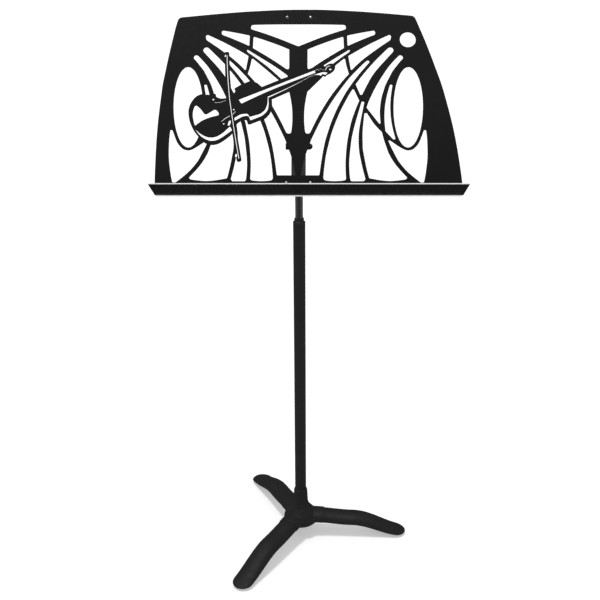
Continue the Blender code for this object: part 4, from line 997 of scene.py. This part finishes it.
@dataclass
class Base:
    """The cast hub, the three legs with the flats for their pads, and the screws under them.

    Attributes:
        shape: the sweep that every leg and socket follows.
        angles: each leg's name and its direction in degrees.
        reaches: how far each leg's tip is from the tube's axis.
        grid: voxel size of the casting.
        rim: height of the hub's underside.
        recess: how deep the pole bolt's head sits in it.
        recess_radius: radius of that recess.
        bolt_room: radius of the hole for the bolt's shank.
        socket_reach: how far the sockets reach from the axis.
        socket_wall: wall round a leg.
        socket_lift: how much thicker that wall is on top than on the sides.
        gap: room between the casting and what it holds.
        flat: height of the flat under a leg, where its pad sits.
    """

    shape: LegShape = field(default_factory=LegShape)
    angles: dict[str, float] = field(default_factory=lambda: {
        "right": -2.4, "rear_left": 116.8, "front_left": 238.0})
    reaches: dict[str, float] = field(default_factory=lambda: {
        "right": 208.0 * MM, "rear_left": 212.0 * MM, "front_left": 215.0 * MM})
    grid: float = 0.9 * MM
    rim: float = 26.0 * MM
    recess: float = 13.5 * MM
    recess_radius: float = 10.5 * MM
    bolt_room: float = 4.3 * MM
    socket_reach: float = 46.0 * MM
    socket_wall: float = 1.1 * MM
    socket_lift: float = 0.5 * MM
    gap: float = 0.3 * MM
    flat: float = 3.5 * MM

    def build(self) -> None:
        """Make the casting and the legs."""
        self.hub()
        for name, degrees in self.angles.items():
            self.leg(name, degrees)

    def leg(self, name: str, degrees: float) -> None:
        """Make one leg with its flat for the pad, and the screw that holds it."""
        shape = replace(self.shape, reach=self.reaches[name])
        sections = shape.rings(shape.start, shape.reach - shape.half_width, 36)
        leg = skinned("leg_%s_swept" % name, sections + shape.tip_rings())
        bpy.ops.object.select_all(action="DESELECT")
        bpy.ops.mesh.primitive_cube_add(size=1.0)
        ground = bpy.context.object
        ground.scale = (0.6 * shape.reach, 0.2, 0.1 + self.flat)
        ground.location = (0.9 * shape.reach, 0, self.flat - ground.scale.z / 2)
        boolean(leg, ground, "DIFFERENCE")
        settle(leg, AXES.leg(degrees))
        shade(leg, 50)
        deliver(leg, POWDER_BLACK, "base", "leg_" + name)
        screw = cad_copy("leg_screw_" + name)
        low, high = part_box("leg_screw_" + name)
        out = ((low + high) / 2 - AXES.foot).xy.length
        settle(screw, Matrix.Translation((0, 0, shape.lift(out))))
        deliver(bevelled(screw, 0.25 * MM), DARK_ZINC, "base", "leg_screw_" + name)

    def hub(self) -> None:
        """Cast the hub: one smooth body, then bored and cut for all that it holds."""
        profile = eased([
            (2 * MM, 100.5 * MM), (12.8 * MM, 100.5 * MM), (14.6 * MM, 68 * MM),
            (18 * MM, 60 * MM), (23 * MM, 54 * MM), (30 * MM, 46 * MM), (33 * MM, 36.5 * MM),
            (33 * MM, 29 * MM), (31 * MM, self.rim), (2 * MM, self.rim)], 6 * MM, 6)
        casting = turned("hub_cast", profile, sides=96)
        for degrees in self.angles.values():
            socket = skinned("socket", self.shape.rings(6 * MM, self.socket_reach, 4,
                                                        self.socket_wall))
            settle(socket, Matrix.Rotation(math.radians(degrees), 4, "Z")
                   @ Matrix.Translation((0, 0, self.socket_lift)))
            boolean(casting, socket, "UNION")
        remesh = casting.modifiers.new("remesh", "REMESH")
        remesh.mode = "VOXEL"
        remesh.voxel_size = self.grid
        smooth = casting.modifiers.new("smooth", "SMOOTH")
        smooth.factor = 0.5
        smooth.iterations = 9
        apply_modifiers(casting)
        self.bore(casting)
        settle(casting, AXES.column())
        shade(casting, 55)
        deliver(casting, CAST_BLACK, "base", "hub")

    def bore(self, casting: bpy.types.Object) -> None:
        """Cut the room for the tube, the legs and the bolt into the casting."""
        tube_low, tube_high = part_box("outer_tube")
        tube_radius = (tube_high.x - tube_low.x) / 2
        room = tube_radius + TUBE_COAT + self.gap
        for radius, low, high in ((room, tube_low.z - self.gap, 0.12),
                                  (self.bolt_room, 0.0, tube_low.z + 5 * MM),
                                  (self.recess_radius, 0.0, self.rim + self.recess)):
            boolean(casting, turned("bore", [(radius, high), (radius, low)], sides=72),
                    "DIFFERENCE")
        shape = self.shape
        for degrees in self.angles.values():
            room = skinned("room", shape.rings(shape.start - self.gap, self.socket_reach + 0.01,
                                               4, self.gap))
            settle(room, Matrix.Rotation(math.radians(degrees), 4, "Z"))
            boolean(casting, room, "DIFFERENCE")


# ---- carried-over nodes -----------------------------------------------------------
def dress_remaining() -> None:
    """Give every CAD node that is still shown its finish."""
    slots = {part["node"]: part["material_slot"] for part in frame["record"]["subparts"]}
    for node, piece in frame["nodes"].items():
        if not piece.hide_render:
            FINISHES[slots[node]].dress(piece)
            LOG.info("%s keeps its CAD shape", node)


# ---- studio -----------------------------------------------------------------------
@dataclass
class Studio:
    """A white floor under soft light, and the camera.

    Attributes:
        lens: focal length for a 36 mm sensor.
        camera_out: how far the camera stands in front of the tube.
        camera_height: height of the camera.
        camera_side: how far it stands to the right of the tube.
        shift: sideways lens shift, as a share of the picture's width.
        pitch: angle of the view from straight down, in degrees.
        dome: strength of the even light from all round.
        sun: strength of the main light.
        spread: how wide the main light is, in degrees.
        floor_colour: how much light the floor gives back.
        floor_glow: light of the floor's own, which keeps the shadow pale.
        mirrored: how bright the sky is in gloss, ahead and at the two sides.
        panels: where the side panels begin and end, from 0 ahead to 1 at the side.
    """

    lens: float = 54.42
    camera_out: float = 1.5165
    camera_height: float = 1.110
    camera_side: float = 0.0226
    shift: float = -0.0202
    pitch: float = 68.0
    dome: float = 0.45
    sun: float = 1.25
    spread: float = 9.0
    floor_colour: float = 0.92
    floor_glow: float = 0.36
    mirrored: tuple[float, float] = (0.10, 0.28)
    panels: tuple[float, float] = (0.62, 0.92)

    def build(self) -> None:
        """Set up the camera, the floor, the sky and the main light."""
        self.camera()
        self.floor()
        self.sky()
        self.light()
        view = bpy.context.scene.view_settings
        view.view_transform = "Standard"
        view.look = "None"

    def camera(self) -> None:
        """Stand the camera in front of the desk, looking down at it."""
        lens = bpy.data.cameras.new("camera")
        lens.lens = self.lens
        lens.sensor_width = 36.0
        lens.shift_x = self.shift
        lens.clip_start = 0.05
        lens.clip_end = 200.0
        camera = bpy.data.objects.new("camera", lens)
        camera.location = AXES.foot + Vector((self.camera_side, -self.camera_out,
                                              self.camera_height))
        camera.rotation_euler = (math.radians(self.pitch), 0, 0)
        bpy.context.scene.collection.objects.link(camera)
        bpy.context.scene.camera = camera

    def floor(self) -> None:
        """Lay a wide white floor that the black metal doesn't mirror."""
        bpy.ops.object.select_all(action="DESELECT")
        bpy.ops.mesh.primitive_plane_add(size=90.0)
        floor = bpy.context.object
        floor.name = "studio_floor"
        paint = bpy.data.materials.new("studio_white")
        paint.use_nodes = True
        shader = paint.node_tree.nodes["Principled BSDF"]
        shader.inputs["Base Color"].default_value = (*[self.floor_colour] * 3, 1)
        shader.inputs["Emission Color"].default_value = (1, 1, 1, 1)
        shader.inputs["Emission Strength"].default_value = self.floor_glow
        shader.inputs["Roughness"].default_value = 0.9
        shader.inputs["Specular IOR Level"].default_value = 0.0
        floor.data.materials.append(paint)
        floor.visible_glossy = False

    def sky(self) -> None:
        """Light the room evenly, with a dimmer sky and two soft side panels in gloss."""
        world = bpy.data.worlds.new("studio_sky")
        bpy.context.scene.world = world
        world.use_nodes = True
        tree = world.node_tree
        even = tree.nodes["Background"]
        even.inputs["Strength"].default_value = self.dome
        even.inputs["Color"].default_value = (1, 1, 1, 1)
        mirror = tree.nodes.new("ShaderNodeBackground")
        place = tree.nodes.new("ShaderNodeTexCoord")
        parts = tree.nodes.new("ShaderNodeSeparateXYZ")
        size = tree.nodes.new("ShaderNodeMath")
        size.operation = "ABSOLUTE"
        panels = tree.nodes.new("ShaderNodeMapRange")
        panels.interpolation_type = "SMOOTHSTEP"
        for name, value in zip(("From Min", "From Max", "To Min", "To Max"),
                               self.panels + self.mirrored):
            panels.inputs[name].default_value = value
        path = tree.nodes.new("ShaderNodeLightPath")
        mix = tree.nodes.new("ShaderNodeMixShader")
        white = tree.nodes.new("ShaderNodeBackground")
        seen = tree.nodes.new("ShaderNodeMixShader")
        output = tree.nodes["World Output"]
        links = tree.links
        links.new(place.outputs["Generated"], parts.inputs["Vector"])
        links.new(parts.outputs["X"], size.inputs[0])
        links.new(size.outputs["Value"], panels.inputs["Value"])
        links.new(panels.outputs["Result"], mirror.inputs["Strength"])
        links.new(path.outputs["Is Glossy Ray"], mix.inputs["Fac"])
        links.new(even.outputs["Background"], mix.inputs[1])
        links.new(mirror.outputs["Background"], mix.inputs[2])
        links.new(path.outputs["Is Camera Ray"], seen.inputs["Fac"])
        links.new(mix.outputs["Shader"], seen.inputs[1])
        links.new(white.outputs["Background"], seen.inputs[2])
        white.inputs["Strength"].default_value = 1.0
        white.inputs["Color"].default_value = (1, 1, 1, 1)
        links.new(seen.outputs["Shader"], output.inputs["Surface"])

    def light(self) -> None:
        """Hang one light high up on the left, a little behind the stand."""
        lamp = bpy.data.lights.new("main_light", "SUN")
        lamp.energy = self.sun
        lamp.angle = math.radians(self.spread)
        light = bpy.data.objects.new("main_light", lamp)
        light.rotation_euler = (math.radians(3), math.radians(-9), 0)
        bpy.context.scene.collection.objects.link(light)


def clear_floor() -> None:
    """Let only the base's low pieces shade the floor, so that it stays clean around them."""
    low_pieces = ("hub", "leg_", "foot_pad", "tube_plug", "pole_")
    for piece in bpy.context.scene.objects:
        if piece.type == "MESH" and not piece.name.startswith(low_pieces):
            piece.visible_shadow = False


def main() -> None:
    """Build every sub-assembly in order."""
    logging.basicConfig(level=logging.INFO, format="%(name)s: %(message)s")
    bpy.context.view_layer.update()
    for assembly in (Studio(), PiercedPanel(), Ledge(), Rivets(), Hinge(), Column(), Base()):
        assembly.build()
    dress_remaining()
    clear_floor()


if __name__ == "__main__":
    main()
